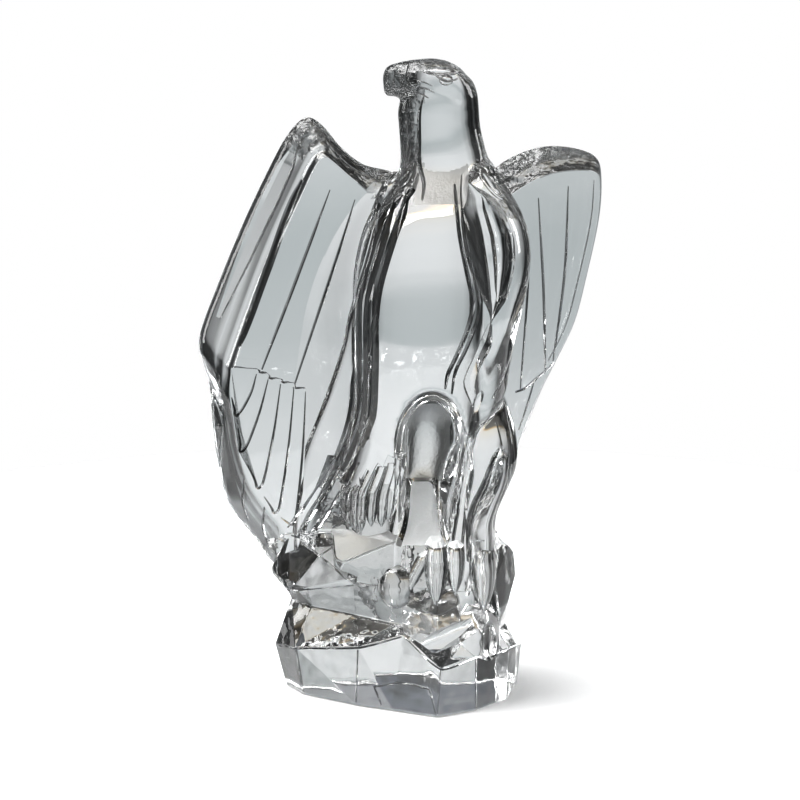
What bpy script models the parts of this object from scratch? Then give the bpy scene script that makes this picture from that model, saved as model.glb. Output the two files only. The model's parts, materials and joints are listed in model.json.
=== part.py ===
"""Crystal eagle figurine: one solid of clear lead crystal, an eagle with raised wings on a cut rock.

Every number below is in millimetres, and add_solid() turns them into metres. X runs to the
figurine's right as one looks at its chest, Y to its back and Z up. The origin is the middle of the
flat underside. The eagle faces -Y and turns its head to -X.

The figure is cast as one piece, so each form is its own simple solid, and Boolean modifiers on the
rock join the forms and cut the hollows. Only the joined solid is a part of the object.
"""

import math

import bmesh
import bpy
import numpy as np
from mathutils import Vector
from mathutils.bvhtree import BVHTree

MM = 0.001
CUT_EDGE = math.radians(32)  # an edge of a round form sharper than this stays a cut edge

# Driving sizes
HEIGHT = 245.2  # underside to the top of the skull
WING_THICKNESS = 15.0
RIM_DEPTH = 11.2  # from a wing's front panel back to its sharp rim
LAYER_STEP = 1.2  # how far a layer of feathers lies below the one over it
GROOVE_WIDTH = 1.5
GROOVE_DEPTH = 1.0
FOOT_BEVEL = 0.8  # the ground rim round the underside
LOCK_RADIUS = 2.1
LEG_SQUARENESS = 2.8

# Axis orders for loft(): (along, across, deep)
UPRIGHT = (2, 0, 1)
SIDEWAYS = (0, 2, 1)


# ---------------------------------------------------------------- curves and meshes


def smooth_rows(rows, count):
    """Rows of numbers read from a smooth curve through the given rows, evenly in their first column."""
    rows = np.array(rows, float)
    knots = rows[:, 0]
    slopes = np.gradient(rows, knots, axis=0)
    places = np.linspace(knots[0], knots[-1], count)
    order = np.argsort(knots)
    left = np.clip(np.searchsorted(knots[order], places, side="right") - 1, 0, len(rows) - 2)
    if knots[0] > knots[-1]:
        left = len(rows) - 2 - left
    span = (knots[left + 1] - knots[left])[:, None]
    t = (places - knots[left])[:, None] / span
    return (
        (2 * t**3 - 3 * t**2 + 1) * rows[left]
        + (t**3 - 2 * t**2 + t) * span * slopes[left]
        + (3 * t**2 - 2 * t**3) * rows[left + 1]
        + (t**3 - t**2) * span * slopes[left + 1]
    )


def closed_outline(points, per_side):
    """A closed smooth outline through the points, with per_side steps between two of them."""
    points = np.array(points, float)
    count = len(points)
    t = np.arange(per_side)[:, None] / per_side
    found = []
    for i in range(count):
        a, b = points[i], points[(i + 1) % count]
        leave = (b - points[i - 1]) / 2
        arrive = (points[(i + 2) % count] - a) / 2
        found.append(
            (2 * t**3 - 3 * t**2 + 1) * a
            + (t**3 - 2 * t**2 + t) * leave
            + (3 * t**2 - 2 * t**3) * b
            + (t**3 - t**2) * arrive
        )
    return np.concatenate(found)


def inset(outline, distance):
    """The outline moved inwards by distance, along the bisector at each of its points."""
    ahead = np.roll(outline, -1, axis=0) - np.roll(outline, 1, axis=0)
    ahead /= np.linalg.norm(ahead, axis=1, keepdims=True)
    turned = np.stack([-ahead[:, 1], ahead[:, 0]], axis=1)
    following = np.roll(outline, -1, axis=0)
    area = np.sum(outline[:, 0] * following[:, 1] - outline[:, 1] * following[:, 0])
    return outline + turned * distance * np.sign(area)


def mesh_of_rings(name, rings, is_round=True):
    """A closed mesh through rings of equally many points, capped by a face at each end."""
    rings = np.asarray(rings, float)
    ring_count, side_count, _ = rings.shape
    shape = bmesh.new()
    points = [[shape.verts.new(p * MM) for p in ring] for ring in rings]
    for i in range(ring_count - 1):
        for k in range(side_count):
            after = (k + 1) % side_count
            shape.faces.new(
                (points[i][k], points[i][after], points[i + 1][after], points[i + 1][k])
            )
    shape.faces.new(points[0][::-1])
    shape.faces.new(points[-1])
    bmesh.ops.recalc_face_normals(shape, faces=shape.faces)
    mesh = bpy.data.meshes.new(name)
    shape.to_mesh(mesh)
    shape.free()
    if is_round:
        mesh.shade_smooth()
        mesh.set_sharp_from_angle(angle=CUT_EDGE)
    return mesh


def add_solid(name, mesh, collection):
    """A helper form: it is joined or cut by a Boolean, and isn't itself a part of the object."""
    form = bpy.data.objects.new(name, mesh)
    collection.objects.link(form)
    form.display_type = "WIRE"
    form.hide_render = True
    return form


def loft(stations, sides, rings, axes=UPRIGHT, squareness=2.2):
    """Rings of a form with an oval section that changes along one axis.

    A station is (place along, low across, high across, front, back), and may end with its own
    squareness. squareness 2 is an ellipse, and more is fuller in the corners.
    """
    along, across, deep = axes
    turns = np.linspace(0, 2 * math.pi, sides, endpoint=False)
    found = []
    for place, low, high, front, back, *own in smooth_rows(stations, rings):
        power = 2 / (own[0] if own else squareness)
        ring = np.zeros((sides, 3))
        ring[:, along] = place
        round_x = np.sign(np.cos(turns)) * np.abs(np.cos(turns)) ** power
        round_y = np.sign(np.sin(turns)) * np.abs(np.sin(turns)) ** power
        ring[:, across] = (low + high) / 2 + (high - low) / 2 * round_x
        ring[:, deep] = (front + back) / 2 + (back - front) / 2 * round_y
        found.append(ring)
    return found


def standing_outline(outline, depth_at, distance=0.0):
    """A ring in space from an outline of (X, Z) points, at the depth that depth_at(X) gives."""
    moved = inset(outline, distance) if distance else outline
    return np.stack([moved[:, 0], depth_at(moved[:, 0]), moved[:, 1]], axis=1)


def hull(name, corners):
    """The smallest convex block round the corners."""
    shape = bmesh.new()
    for corner in corners:
        shape.verts.new(Vector(corner) * MM)
    made = bmesh.ops.convex_hull(shape, input=shape.verts)
    spare = [part for part in made["geom_interior"] if isinstance(part, bmesh.types.BMVert)]
    bmesh.ops.delete(shape, geom=spare, context="VERTS")
    bmesh.ops.recalc_face_normals(shape, faces=shape.faces)
    mesh = bpy.data.meshes.new(name)
    shape.to_mesh(mesh)
    shape.free()
    return mesh


def ball(name, centre, half_sizes):
    """An egg shape with those half sizes."""
    shape = bmesh.new()
    bmesh.ops.create_uvsphere(shape, u_segments=14, v_segments=8, radius=1.0)
    for corner in shape.verts:
        corner.co = Vector(c + x * s for c, x, s in zip(centre, corner.co, half_sizes)) * MM
    mesh = bpy.data.meshes.new(name)
    shape.to_mesh(mesh)
    shape.free()
    mesh.shade_smooth()
    return mesh


def tube_rings(points, radii, sides=5):
    """Rings of a tube that follows points in space."""
    points = np.array(points, float)
    radii = np.broadcast_to(radii, len(points))
    runs = np.gradient(points, axis=0)
    runs /= np.linalg.norm(runs, axis=1, keepdims=True)
    side = np.cross(runs[0], (0.0, 1.0, 0.0))
    turns = np.linspace(0, 2 * math.pi, sides, endpoint=False)
    rings = []
    for point, run, radius in zip(points, runs, radii):
        side = side - run * np.dot(side, run)
        side /= np.linalg.norm(side)
        other = np.cross(run, side)
        rings.append(
            [point + radius * (math.cos(a) * side + math.sin(a) * other) for a in turns]
        )
    return rings


# ---------------------------------------------------------------- the eagle


def body_rings():
    """Chest and belly, from the hem of the left hip at the bottom up into the skull."""
    stations = [
        (88.0, -24.0, 25.5, -25.0, 10, 3),
        (95.0, -22.0, 27.0, -26.2, 12, 3),
        (106.0, -19.5, 29.0, -27.6, 15, 3),
        (117.0, -18.0, 31.0, -28.9, 17, 3),
        (136.0, -17.5, 33.0, -30.8, 18, 3),
        (152.0, -17.5, 34.5, -31.4, 18.5, 3),
        (162.0, -17.0, 34.5, -31.2, 18.5, 3),
        (172.0, -15.5, 34.0, -30.2, 18, 3),
        (180.0, -13.5, 33.6, -28.3, 17.4, 3),
        (186.0, -11.0, 33.6, -25.8, 16.8, 3),
        (190.0, -8.5, 34.0, -23.2, 16.4, 3),
        (194.0, -5.5, 34.4, -19.6, 15.8, 2.9),
        (198.0, -2.8, 34.8, -16.0, 15.2, 2.8),
        (204.0, -0.2, 34.4, -11.2, 14.6, 2.6),
        (208.0, 0.2, 33.0, -9.2, 14.2, 2.5),
        (214.0, 0.0, 31.2, -8.4, 13.6, 2.5),
        (220.0, -0.4, 29.8, -8.8, 13, 2.5),
        (227.0, -0.6, 29.2, -9.8, 12, 2.5),
        (233.0, 1.5, 28.4, -10.4, 10.5, 2.5),
        (238.0, 6, 26, -9.5, 8, 2.4),
        (241.0, 10, 22, -7, 5, 2.4),
    ]
    return loft(stations, sides=26, rings=27)


def head_rings():
    """Skull and beak, seen from its side by one who faces the chest."""
    stations = [
        (-6.4, 236.6, 239.4, -3.5, -1.5),
        (-5.4, 233.6, 241.6, -6, 1),
        (-2, 231.6, 243.4, -7.5, 3),
        (2, 230.6, 244.4, -9, 5),
        (7, 229.5, 245.0, -10.5, 7.5),
        (12.5, 228, HEIGHT, -11, 9.5),
        (18.5, 226, 243.8, -10.8, 10.5),
        (23.5, 225, 240.4, -9.6, 9.5),
        (26.6, 225, 235.6, -6.5, 6.5),
        (28.2, 226, 230.4, -4, 2),
    ]
    return loft(stations, sides=22, rings=16, axes=SIDEWAYS, squareness=2.3)


def beak_tip_rings():
    """The hook at the end of the upper beak."""
    stations = [
        (231.4, -5.2, -2.4, -3.4, -1.6),
        (232.6, -5.8, -0.8, -4.8, -0.2),
        (235, -6.2, 1.5, -6, 1),
        (239, -4, 4, -6, 1),
    ]
    return loft(stations, sides=12, rings=8)


LEFT_LEG = [
    (60, -19.5, -1.5, -20, 6),
    (68, -20.5, -1.0, -22.0, 9),
    (76, -21.0, -0.6, -22.6, 9),
    (86, -20.5, 0.2, -22.8, 9),
    (95, -16.0, 2.0, -22.8, 9),
    (108, -10.0, 3.0, -22.8, 9),
]


def left_leg_rings():
    """The left leg under its hem."""
    return loft(LEFT_LEG, sides=20, rings=7, squareness=LEG_SQUARENESS)


def lock_rings(turn, top, bottom):
    """One upright lock of feathers on the left leg, with a point at its lower end."""
    stations = np.array(LEFT_LEG, float)
    power = 2 / LEG_SQUARENESS
    across = np.sign(math.cos(turn)) * abs(math.cos(turn)) ** power
    forward = abs(math.sin(turn)) ** power
    waist = 0.55 * top + 0.45 * bottom
    rings = []
    for height, share in ((top, 0.9), (waist, 1.0), (bottom + 4, 0.9), (bottom, 0.15)):
        low, high, front, back = (
            np.interp(height, stations[:, 0], stations[:, k]) for k in (1, 2, 3, 4)
        )
        x = (low + high) / 2 + (high - low) / 2 * across
        y = (front + back) / 2 - (back - front) / 2 * forward
        rings.append(
            [
                (
                    x + LOCK_RADIUS * share * math.cos(a),
                    y + LOCK_RADIUS * share * math.sin(a),
                    height,
                )
                for a in np.linspace(0, 2 * math.pi, 7)[:-1]
            ]
        )
    return rings


def locks():
    """The locks side by side round the front of the left leg: each one ends a little higher."""
    turns = np.radians([172, 155, 138, 121, 105, 90, 75, 59, 42])
    return {
        f"lock_{i + 1}": lock_rings(turn, 90 + 1.3 * i, 67.2 + 0.95 * i + (i % 2) * 1.2)
        for i, turn in enumerate(turns)
    }


def bare_thigh_rings():
    """The right thigh: a leaf shape that ends in a point at the top."""
    stations = [
        (60, 20.5, 36.0, -20, 4),
        (68, 20.4, 36.2, -22, 8),
        (76, 20.6, 36.9, -22.5, 10),
        (85, 21.8, 40.4, -23, 10),
        (95, 23.6, 44.2, -22.5, 11),
        (105, 25.0, 43.9, -21, 11),
        (110, 27.4, 42.8, -19, 10),
        (113, 31.0, 41.8, -17, 9),
        (116.5, 35.6, 40.6, -14.5, 6),
        (119, 38.0, 39.4, -12.5, 2),
    ]
    return loft(stations, sides=20, rings=14, squareness=3.8)


def bare_shank_rings():
    """The smooth lower leg in front of the right thigh, with a rounded knee at its top."""
    stations = [
        (60, 24.4, 35.4, -26.5, -8),
        (68, 24.4, 35.2, -27.5, -8),
        (76, 24.8, 35.1, -28, -10),
        (82, 26.4, 36.8, -28, -12),
        (90, 30.2, 39.6, -27.5, -13),
        (97, 33.0, 40.6, -26.5, -14),
        (101, 34.8, 39.9, -25.5, -15),
        (103.2, 36.8, 38.0, -23.5, -17),
    ]
    return loft(stations, sides=18, rings=12, squareness=3)


def inner_lip_rings():
    """The narrow lip between the hollow and the right leg."""
    stations = [
        (60, 10.0, 22.2, -25, 2),
        (70, 10.0, 22.8, -26, 2),
        (84, 10.0, 24.8, -27, 2),
        (98, 12.0, 27.0, -27.6, 2),
        (108, 14.0, 27.6, -27, 2),
    ]
    return loft(stations, sides=14, rings=10)


def shoulder_rings():
    """The thick inner part of the right wing, which runs from the shoulder down to the hip."""
    stations = [
        (110.5, 28.0, 33.0, -15, 6),
        (114, 25.0, 36.5, -18, 12),
        (120, 23.0, 39.6, -20, 14),
        (131, 22.0, 41.5, -23, 16),
        (143, 22.0, 43.5, -25, 17),
        (154, 22.5, 46.0, -26, 17),
        (165, 21.0, 48.2, -26, 17),
        (176, 20.0, 48.6, -25.5, 17),
        (185, 19.0, 46.8, -24, 16),
        (194, 19.0, 42.4, -21, 15),
        (201, 21.5, 37.6, -17, 13),
        (207, 26.0, 34.4, -10, 8),
    ]
    return loft(stations, sides=20, rings=16)


def swell_rings():
    """The left wing's inner part: its front swells from the flat panel towards the breast."""
    stations = [  # height, left edge, right edge, how far the right edge stands before the panel
        (64, -46.0, -41.5, 1.0), (72, -47.0, -38.5, 3.0), (81, -47.0, -33.5, 5.0),
        (92, -46.0, -26.5, 7.5), (104, -44.5, -20.5, 9.0), (121, -42.0, -16.8, 10.0),
        (138, -39.5, -15.6, 10.3), (154, -36.5, -15.2, 10.0), (170, -31.0, -13.0, 9.0),
        (182, -25.0, -10.0, 7.0), (193, -17.0, -6.5, 4.4), (200, -10.0, -4.0, 2.0),
    ]  # fmt: skip
    rings = []
    for height, left, right, swell in smooth_rows(stations, 14):
        front = []
        for t in np.linspace(0, 1, 8):
            x = left + (right - left) * t
            rise = swell * t * t * (3 - 2 * t)
            front.append((x, left_front(x) + 0.5 - rise, height))
        behind = [(right, 8.0, height), (left, 8.0, height)]
        rings.append(front + behind)
    return rings


def tail_rings():
    """The closed tail, which comes down behind the legs and leans on the rock."""
    stations = [
        (26, 0, 20, 28, 37.4),
        (32, -4, 25, 24, 37.6),
        (45, -9, 30, 16, 36.5),
        (62, -14, 34.5, 6, 33.5),
        (72, -16, 35, 2, 31.5),
        (84, -17.5, 38, 0, 29),
        (95, -17, 42, 0, 27),
        (106, -16.5, 42, 0, 24.5),
        (118, -15, 38, 0, 21.5),
        (142, -12, 30, 0, 17.5),
        (160, -4, 22, 0, 15),
    ]
    return loft(stations, sides=20, rings=12, squareness=5)


def flank_rings():
    """The back of the left side, between wing and tail, down to the rock."""
    stations = [
        (44, -40, -2, 2, 19),
        (60, -42, 0, 0, 16),
        (76, -40, 2, 0, 14),
        (96, -34, 4, 1, 13),
        (116, -26, 4, 2, 12.5),
        (136, -19, 4, 3, 12),
        (156, -14, 2, 4, 11),
        (166, -8, -2, 5, 9),
    ]
    return loft(stations, sides=18, rings=10, squareness=3.0)


EYE_AND_BROW = {
    "eye": ((16.8, -10.4, 238.0), (2.6, 2.2, 2.0)),
    "brow": ((15.0, -8.8, 241.0), (7.0, 3.4, 1.7)),
}


def toe_rings(knuckle, talon, width, front, back):
    """One toe, which bends over the edge of the rock: a rounded knuckle on top, a talon below.

    knuckle and talon are the (X, Z) of its top and of its lower point.
    """
    shape = [  # share of the height, of the width, and how far the front stands back
        (0.0, 0.08, 3.0), (0.1, 0.4, 1.4), (0.25, 0.74, 0.5), (0.45, 0.96, 0.0), (0.65, 1.0, 0.0),
        (0.82, 0.94, 0.3), (0.93, 0.8, 1.2), (1.0, 0.45, 3.2),
    ]  # fmt: skip
    stations = []
    for share, wide, recess in shape:
        middle = talon[0] + (knuckle[0] - talon[0]) * share
        height = talon[1] + (knuckle[1] - talon[1]) * share
        half = width / 2 * wide
        stations.append((height, middle - half, middle + half, front + recess, back))
    return loft(stations, sides=12, rings=9)


# Each is (knuckle, talon's point, width, front, back)
TOES = {
    "toe_1": ((9.8, 64.0), (1.8, 45.6), 6.6, -26.4, -10),
    "toe_2": ((13.6, 68.6), (13.5, 42.6), 9.6, -31.4, -10),
    "toe_3": ((20.6, 67.8), (20.6, 47.0), 8.0, -30.0, -10),
    "toe_4": ((30.6, 67.0), (31.4, 40.0), 11.0, -28.6, -8),
}


# ---------------------------------------------------------------- the wings


# The fluted bevel between a wing's front panel and its rim: (share of the way, depth)
FLUTE = [(0.08, 1.5), (0.25, 3.75), (0.5, 5.85), (0.75, 8.0), (0.93, 9.85)]


def wing_rings(rim, panel, front_at, per_side):
    """A thick slab with a sharp rim, a fluted bevel in front of it and a plain one behind."""
    rim = closed_outline(rim, per_side)
    panel = closed_outline(panel, per_side)

    def behind(distance):
        return lambda x: front_at(x) + distance

    rings = [
        standing_outline(0.15 * rim + 0.85 * panel, behind(WING_THICKNESS)),
        standing_outline(rim, behind(RIM_DEPTH + 0.4), 0.3),
        standing_outline(rim, behind(RIM_DEPTH)),
    ]
    for share, depth in FLUTE[::-1]:
        rings.append(standing_outline(share * rim + (1 - share) * panel, behind(depth)))
    rings.append(standing_outline(panel, behind(0.0)))
    return rings


LEFT_WING_RIM = [
    (-34.5, 223.2), (-40.5, 218.6), (-47.3, 207.4), (-59.6, 182.0), (-73.5, 148.5),
    (-76.2, 137.5), (-74.6, 130.5), (-72.4, 121.0), (-71.6, 105.0), (-69.4, 88.8),
    (-65.5, 74.5), (-56.0, 61.4), (-48.0, 51.0), (-35.0, 56.0), (-20.0, 88.0),
    (-8.0, 140.0), (0.0, 180.0), (4.0, 200.0), (-4.5, 203.2), (-13.8, 205.6),
    (-21.9, 211.8), (-28.6, 219.8),
]  # fmt: skip
LEFT_WING_PANEL = [
    (-28.0, 209.6), (-31.4, 205.6), (-37.2, 193.6), (-48.3, 169.0), (-61.2, 134.0),
    (-62.9, 127.0), (-63.5, 119.0), (-62.4, 110.0), (-60.6, 98.0), (-57.4, 86.5),
    (-52.4, 77.2), (-46.6, 69.6), (-42.0, 64.5), (-34.5, 74.0), (-25.0, 95.0),
    (-17.6, 130.0), (-13.5, 168.0), (-8.6, 189.0), (-9.4, 193.8), (-14.0, 198.6),
    (-19.0, 202.8), (-24.6, 207.8),
]  # fmt: skip
RIGHT_WING_RIM = [
    (30.0, 199.0), (36.0, 203.6), (41.6, 207.2), (49.2, 210.0), (58.0, 211.2),
    (68.3, 209.6), (75.0, 206.2), (77.2, 199.0), (76.6, 183.2), (72.0, 160.4),
    (67.6, 143.1), (60.8, 128.7), (54.0, 114.9), (46.8, 96.3), (43.0, 84.9),
    (34.0, 80.0), (24.0, 92.0), (22.0, 130.0), (24.0, 178.0),
]  # fmt: skip
RIGHT_WING_PANEL = [
    (33.0, 188.0), (39.0, 192.8), (44.0, 196.2), (50.0, 199.6), (57.5, 202.2),
    (66.0, 203.0), (73.4, 202.2), (75.6, 197.6), (74.8, 183.0), (70.3, 160.6),
    (65.8, 143.5), (58.8, 129.4), (52.0, 115.8), (44.9, 97.6), (41.0, 87.0),
    (35.0, 86.0), (28.0, 96.0), (27.0, 130.0), (29.0, 174.0),
]  # fmt: skip


def left_front(x):
    """Depth of the left wing's front panel: its outer edge comes a little forward."""
    return -6.5 + 0.06 * (x + 40)


def right_front(x):
    """Depth of the right wing's front panel, which sweeps backwards."""
    return 4.0 + 0.30 * (x - 45)


# The left wing's upper feathers end in this stepped line, and the next layer starts below it
LEFT_STEPS = [
    (-63.4, 130.8), (-53.6, 130.0), (-52.8, 128.6), (-49.6, 128.2), (-49.0, 126.2),
    (-45.0, 126.2), (-44.2, 124.6), (-40.0, 124.6), (-39.4, 122.4), (-35.4, 122.8),
]  # fmt: skip
# Where the lines between the lower feathers start, and the rounded tips where they end
LEFT_LINES_TOP = [(-54.0, 128.0), (-49.6, 126.0), (-45.0, 124.0), (-40.0, 122.6), (-35.6, 121.0)]
LEFT_LINES_TIP = [(-61.0, 111.4), (-59.2, 97.4), (-52.8, 83.2), (-46.6, 73.4), (-40.4, 68.6)]


def feather_tip_path(index):
    """The line round one long feather: down its right side, round the tip and up the left edge."""
    top, tip = np.array(LEFT_LINES_TOP[index]), np.array(LEFT_LINES_TIP[index])
    down = (tip - top) / np.linalg.norm(tip - top)
    outward = np.array([down[1], -down[0]])
    before_tip = tip - 5.0 * down - 0.4 * outward
    previous = np.array(LEFT_LINES_TIP[index - 1] if index else (-63.4, 122.0))
    return [
        top,
        0.5 * (top + before_tip) - 0.6 * outward,
        before_tip,
        tip - 0.8 * down + 0.6 * outward,
        tip - 0.6 * down + 1.8 * outward,
        0.75 * tip + 0.25 * previous + 0.8 * outward,
        0.3 * tip + 0.7 * previous + 0.8 * outward,
    ]


def field_rings(outline, front_at, step):
    """A flat cutter which lowers everything inside an outline to step behind a wing's panel."""
    outline = np.array(outline, float)
    return [
        standing_outline(outline, lambda x: front_at(x) - 30),
        standing_outline(outline, lambda x: front_at(x) + step),
    ]


# The rest of the outline round the left wing's lower layer of feathers
LEFT_FIELD = [(-35.8, 100.0), (-37.0, 80.0), (-38.4, 60.0), (-90.0, 40.0), (-90.0, 131.5)]


# ---------------------------------------------------------------- the rock


# The rock is a stack of cut rings. Each has its corners in the same order: the front left one
# first, then along the front, round the right side, along the back, and down the left side.
FOOT = [
    (-45, 8, 0), (-37.5, -3, 0), (-17, -15.5, 0), (-3, -21.5, 0), (14, -29, 0), (29, -21.5, 0),
    (41, -9, 0), (46, 8, 0), (40, 22, 0), (21, 34, 0), (-8, 36, 0), (-34, 34, 0),
]  # fmt: skip
SHELF = [
    (-49, 7, 17.5), (-40.5, -7, 20.5), (-16, -17.5, 24.3), (1, -19, 29.4), (15.5, -28.5, 19.5),
    (29, -22, 22), (42, -10, 21), (47.5, 6, 18), (42, 22, 19), (22, 36, 20), (-9, 37.5, 20),
    (-36, 35, 19),
]  # fmt: skip
NOTCH = [
    (-42.5, 6, 36.5), (-34, -1, 35.5), (-17, -7.5, 34), (-2, -12, 32), (12, -18, 31),
    (27, -19, 30), (38, -8, 28), (41.0, 4, 27), (37, 20, 29), (20, 32, 32), (-9, 35, 35),
    (-32, 31, 36),
]  # fmt: skip
BULGE = [
    (-48, 4, 50), (-37, -10, 50), (-18, -18.5, 52), (0, -23, 50), (14, -25.5, 50),
    (28, -23, 50), (39, -13, 49), (44, 0, 48), (39, 18, 50), (21, 31, 51), (-10, 34, 52),
    (-34, 32, 51),
]  # fmt: skip
CREST = [
    (-44, 4, 62), (-34, -10, 61), (-16, -18, 62), (0, -21, 63), (14, -22, 64), (28, -20, 64),
    (37, -10, 62), (41, 0, 60), (36, 16, 64), (20, 28, 68), (-10, 31, 69), (-31, 29, 67),
]  # fmt: skip

# The trough that runs up to the right across the prow: its middle line, and its radii
PROW_CHANNEL = (
    [(3.0, -30.0, 24.6), (11.0, -32.4, 28.0), (19.0, -31.6, 31.4), (29.0, -28.0, 35.4)],
    [4.0, 5.6, 5.6, 4.8],
)


def rock_rings():
    """The cut foot, the slanting shelf above it, a notch, and the bulge that carries the eagle."""
    bevelled_foot = [(x * 0.985, y * 0.985, 0) for x, y, z in FOOT]
    raised_foot = [(x, y, FOOT_BEVEL) for x, y, z in FOOT]
    inner_crest = [(x * 0.8 + 0.4, y * 0.8 + 1, z + 1.5) for x, y, z in CREST]
    return [bevelled_foot, raised_foot, SHELF, NOTCH, BULGE, CREST, inner_crest]


# Blocks above the foot, each given by its corners
BOULDERS = {
    "left_wedge": [
        (-49.6, 0, 50.4), (-49.4, 0, 48.2), (-42.0, -5, 66.0), (-30.1, -20, 61.3), (-19.8, -26, 53.6),
        (-42.6, -14, 44.8), (-16.5, -25, 50.6), (-15.4, -22, 53.9), (-46.0, 14, 62.0), (-46.0, 14, 47.0),
        (-18.0, -4, 65.0), (-18.0, -4, 49.0), (-22.0, 12, 64.0),
    ],
    "ledge": [
        (-24.6, -24, 61.5), (-21.0, -26, 60.0), (-12.3, -26, 63.6), (-1.9, -25, 67.6), (4.0, -22, 69.4),
        (-9.4, -21, 71.0), (-25.8, -19, 71.0), (-26.0, -2, 71.4), (2.0, -2, 78.0), (-25.0, -19, 51.0),
        (-12.0, -20.5, 49.0), (-2.0, -22.5, 50.0), (4.0, -19, 60.0),
    ],
    "prow": [
        (1.2, -20, 46.5), (8.3, -24, 49.0), (13.8, -29, 47.4), (20.4, -25, 49.4), (22.4, -14, 50.4),
        (2.0, -12, 48.5), (0.6, -22, 42.7), (13.8, -31, 41.0), (22.2, -27, 43.9), (1.0, -21.5, 31.7),
        (7.5, -26.5, 28.6), (14.2, -31.4, 33.0), (22.4, -28, 35.0), (24.6, -22, 28.0), (13.0, -28, 25.0),
        (22.0, -12, 25.0), (4.0, -12, 26.0),
    ],
    "right_slope": [
        (21.0, -26.5, 37.4), (25.6, -25, 43.3), (32.4, -22.4, 40.6), (38.0, -15, 20.4), (34.0, -22.6, 20.0),
        (27.4, -25.4, 23.4), (22.0, -27, 29.0), (37.0, -8, 40.0), (24.0, -8, 42.0), (26.0, -10, 20.0),
        (39.0, -8, 22.0),
    ],
    "right_knob": [
        (36.0, -15, 61.0), (38.4, -13, 63.6), (41.4, -11, 62.4), (43.4, -9, 58.8), (44.2, -8, 50.0),
        (41.4, -9, 39.4), (37.0, -15, 38.0), (35.6, -18, 50.0), (36.0, 6, 63.0), (43.0, 4, 58.5),
        (44.0, 4, 50.0), (41.0, 4, 38.0), (36.0, 6, 34.0), (38.6, -7, 31.0),
    ],
    "ramp": [
        (2.0, -24, 48.0), (27.0, -24, 48.0), (2.0, -21, 95.0), (27.0, -21, 95.0), (-6.0, 9, 48.0),
        (27.0, 9, 48.0), (-6.0, 9, 95.0), (27.0, 9, 95.0), (-4.0, -22, 64.0), (-4.0, -20, 72.0),
    ],
}  # fmt: skip

# The left foot's great toe, a round knuckle on the rock: its centre and half sizes
LEFT_TOE = ((-0.6, -17.6, 50.4), (7.4, 8.0, 9.0))

# Rounded hollows ground into the rock's front. Each is (centre, half sizes)
SCOOPS = {
    "left_scoop": ((-22, -35, 40), (24, 17, 9)),
    "front_dimple": ((8.4, -29.6, 20), (3.4, 4, 6.5)),
    "right_scoop": ((38.0, -25, 28.5), (7.6, 9.5, 11)),
}


# ---------------------------------------------------------------- hollows


def niche_rings():
    """The arched hollow between the legs: a funnel, with a floor which rises to its back wall.

    A station is (depth, left and right edges where the arch springs, left and right edges of the
    floor, height of the spring, of the crown, and of the floor).
    """
    stations = [
        (-40, -3.2, 27.0, -3.5, 19.5, 104, 128, 53),
        (-28, -2.2, 25.6, -2.4, 18.5, 104, 125.6, 62),
        (-24, -1.2, 24.6, -1.4, 17.6, 104, 123.6, 65),
        (-18, 0.0, 23.2, 0.6, 16.2, 103, 121, 69.5),
        (-9, 1.8, 20.4, 2.2, 15.0, 101, 116, 76.5),
        (-2, 3.4, 17.4, 2.7, 14.2, 98, 110.5, 82.5),
        (1.5, 5.0, 14.8, 4.2, 12.8, 96, 106, 86),
        (3, 7.5, 12.2, 7.0, 10.4, 95, 100, 89),
    ]
    rings = []
    for depth, left, right, foot_left, foot_right, spring, crown, floor in stations:
        middle, reach = (left + right) / 2, (right - left) / 2
        arch = [
            (middle + reach * math.cos(a), spring + (crown - spring) * math.sin(a))
            for a in np.linspace(0, math.pi, 17)
        ]
        sides = [
            (foot_left, floor + 2),
            (foot_left + 1.5, floor),
            (foot_right - 1.5, floor),
            (foot_right, floor + 2),
        ]
        rings.append([(x, depth, z) for x, z in arch + sides])
    return rings


HEM = [
    (-28.0, 78.0), (-28.0, 88.0), (-22.6, 88.2), (-20.4, 91.4), (-18.4, 89.6), (-16.3, 93.4),
    (-14.5, 91.6), (-12.2, 95.8), (-10.4, 94.0), (-8.1, 98.2), (-6.3, 96.6), (-4.4, 101.4),
    (-2.4, 100.4), (4.0, 102.5), (4.0, 78.0),
]  # fmt: skip


def hem_rings():
    """The cutter which gives the left hip its jagged hem of feathers."""
    return [[(x, y, z) for x, z in HEM] for y in (-34.0, 4.0)]


# The long leaf-shaped hollow in the front of the right shoulder: (height, left edge, right edge)
LEAF = [
    (202.6, 23.0, 24.4), (201.8, 22.2, 26.0), (199.2, 21.8, 30.9), (195.5, 22.2, 36.4), (190.0, 22.7, 40.0),
    (181.9, 24.5, 43.4), (175.3, 25.8, 43.8), (169.8, 27.3, 42.9), (160.5, 30.0, 39.8), (154.3, 31.8, 36.2),
    (150.6, 32.7, 33.5),
]  # fmt: skip


def leaf_rings(left_share, right_share, top, bottom, floor, depth):
    """A cutter for part of the leaf, between those shares of its width and those heights.

    floor is the depth of its lowest line, and depth how far its edges stand before that.
    """
    stations = np.array(LEAF[::-1], float)
    rings = []
    for height in np.linspace(bottom, top, 13):
        left, right = (np.interp(height, stations[:, 0], stations[:, k]) for k in (1, 2))
        swell = max(math.sin(math.pi * (height - bottom) / (top - bottom)), 0.03) ** 0.6
        low = left + (right - left) * left_share
        high = left + (right - left) * right_share
        middle, half = (low + high) / 2, max((high - low) / 2 * min(1.0, swell * 1.5), 0.2)
        edge_depth = floor - depth
        trough = []
        for u in np.linspace(-1.25, 1.25, 9):
            trough.append((middle + half * u, edge_depth + depth * swell * (1 - u * u), height))
        trough += [(middle + 1.3 * half, -48.0, height), (middle - 1.3 * half, -48.0, height)]
        rings.append(trough)
    return rings


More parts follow.
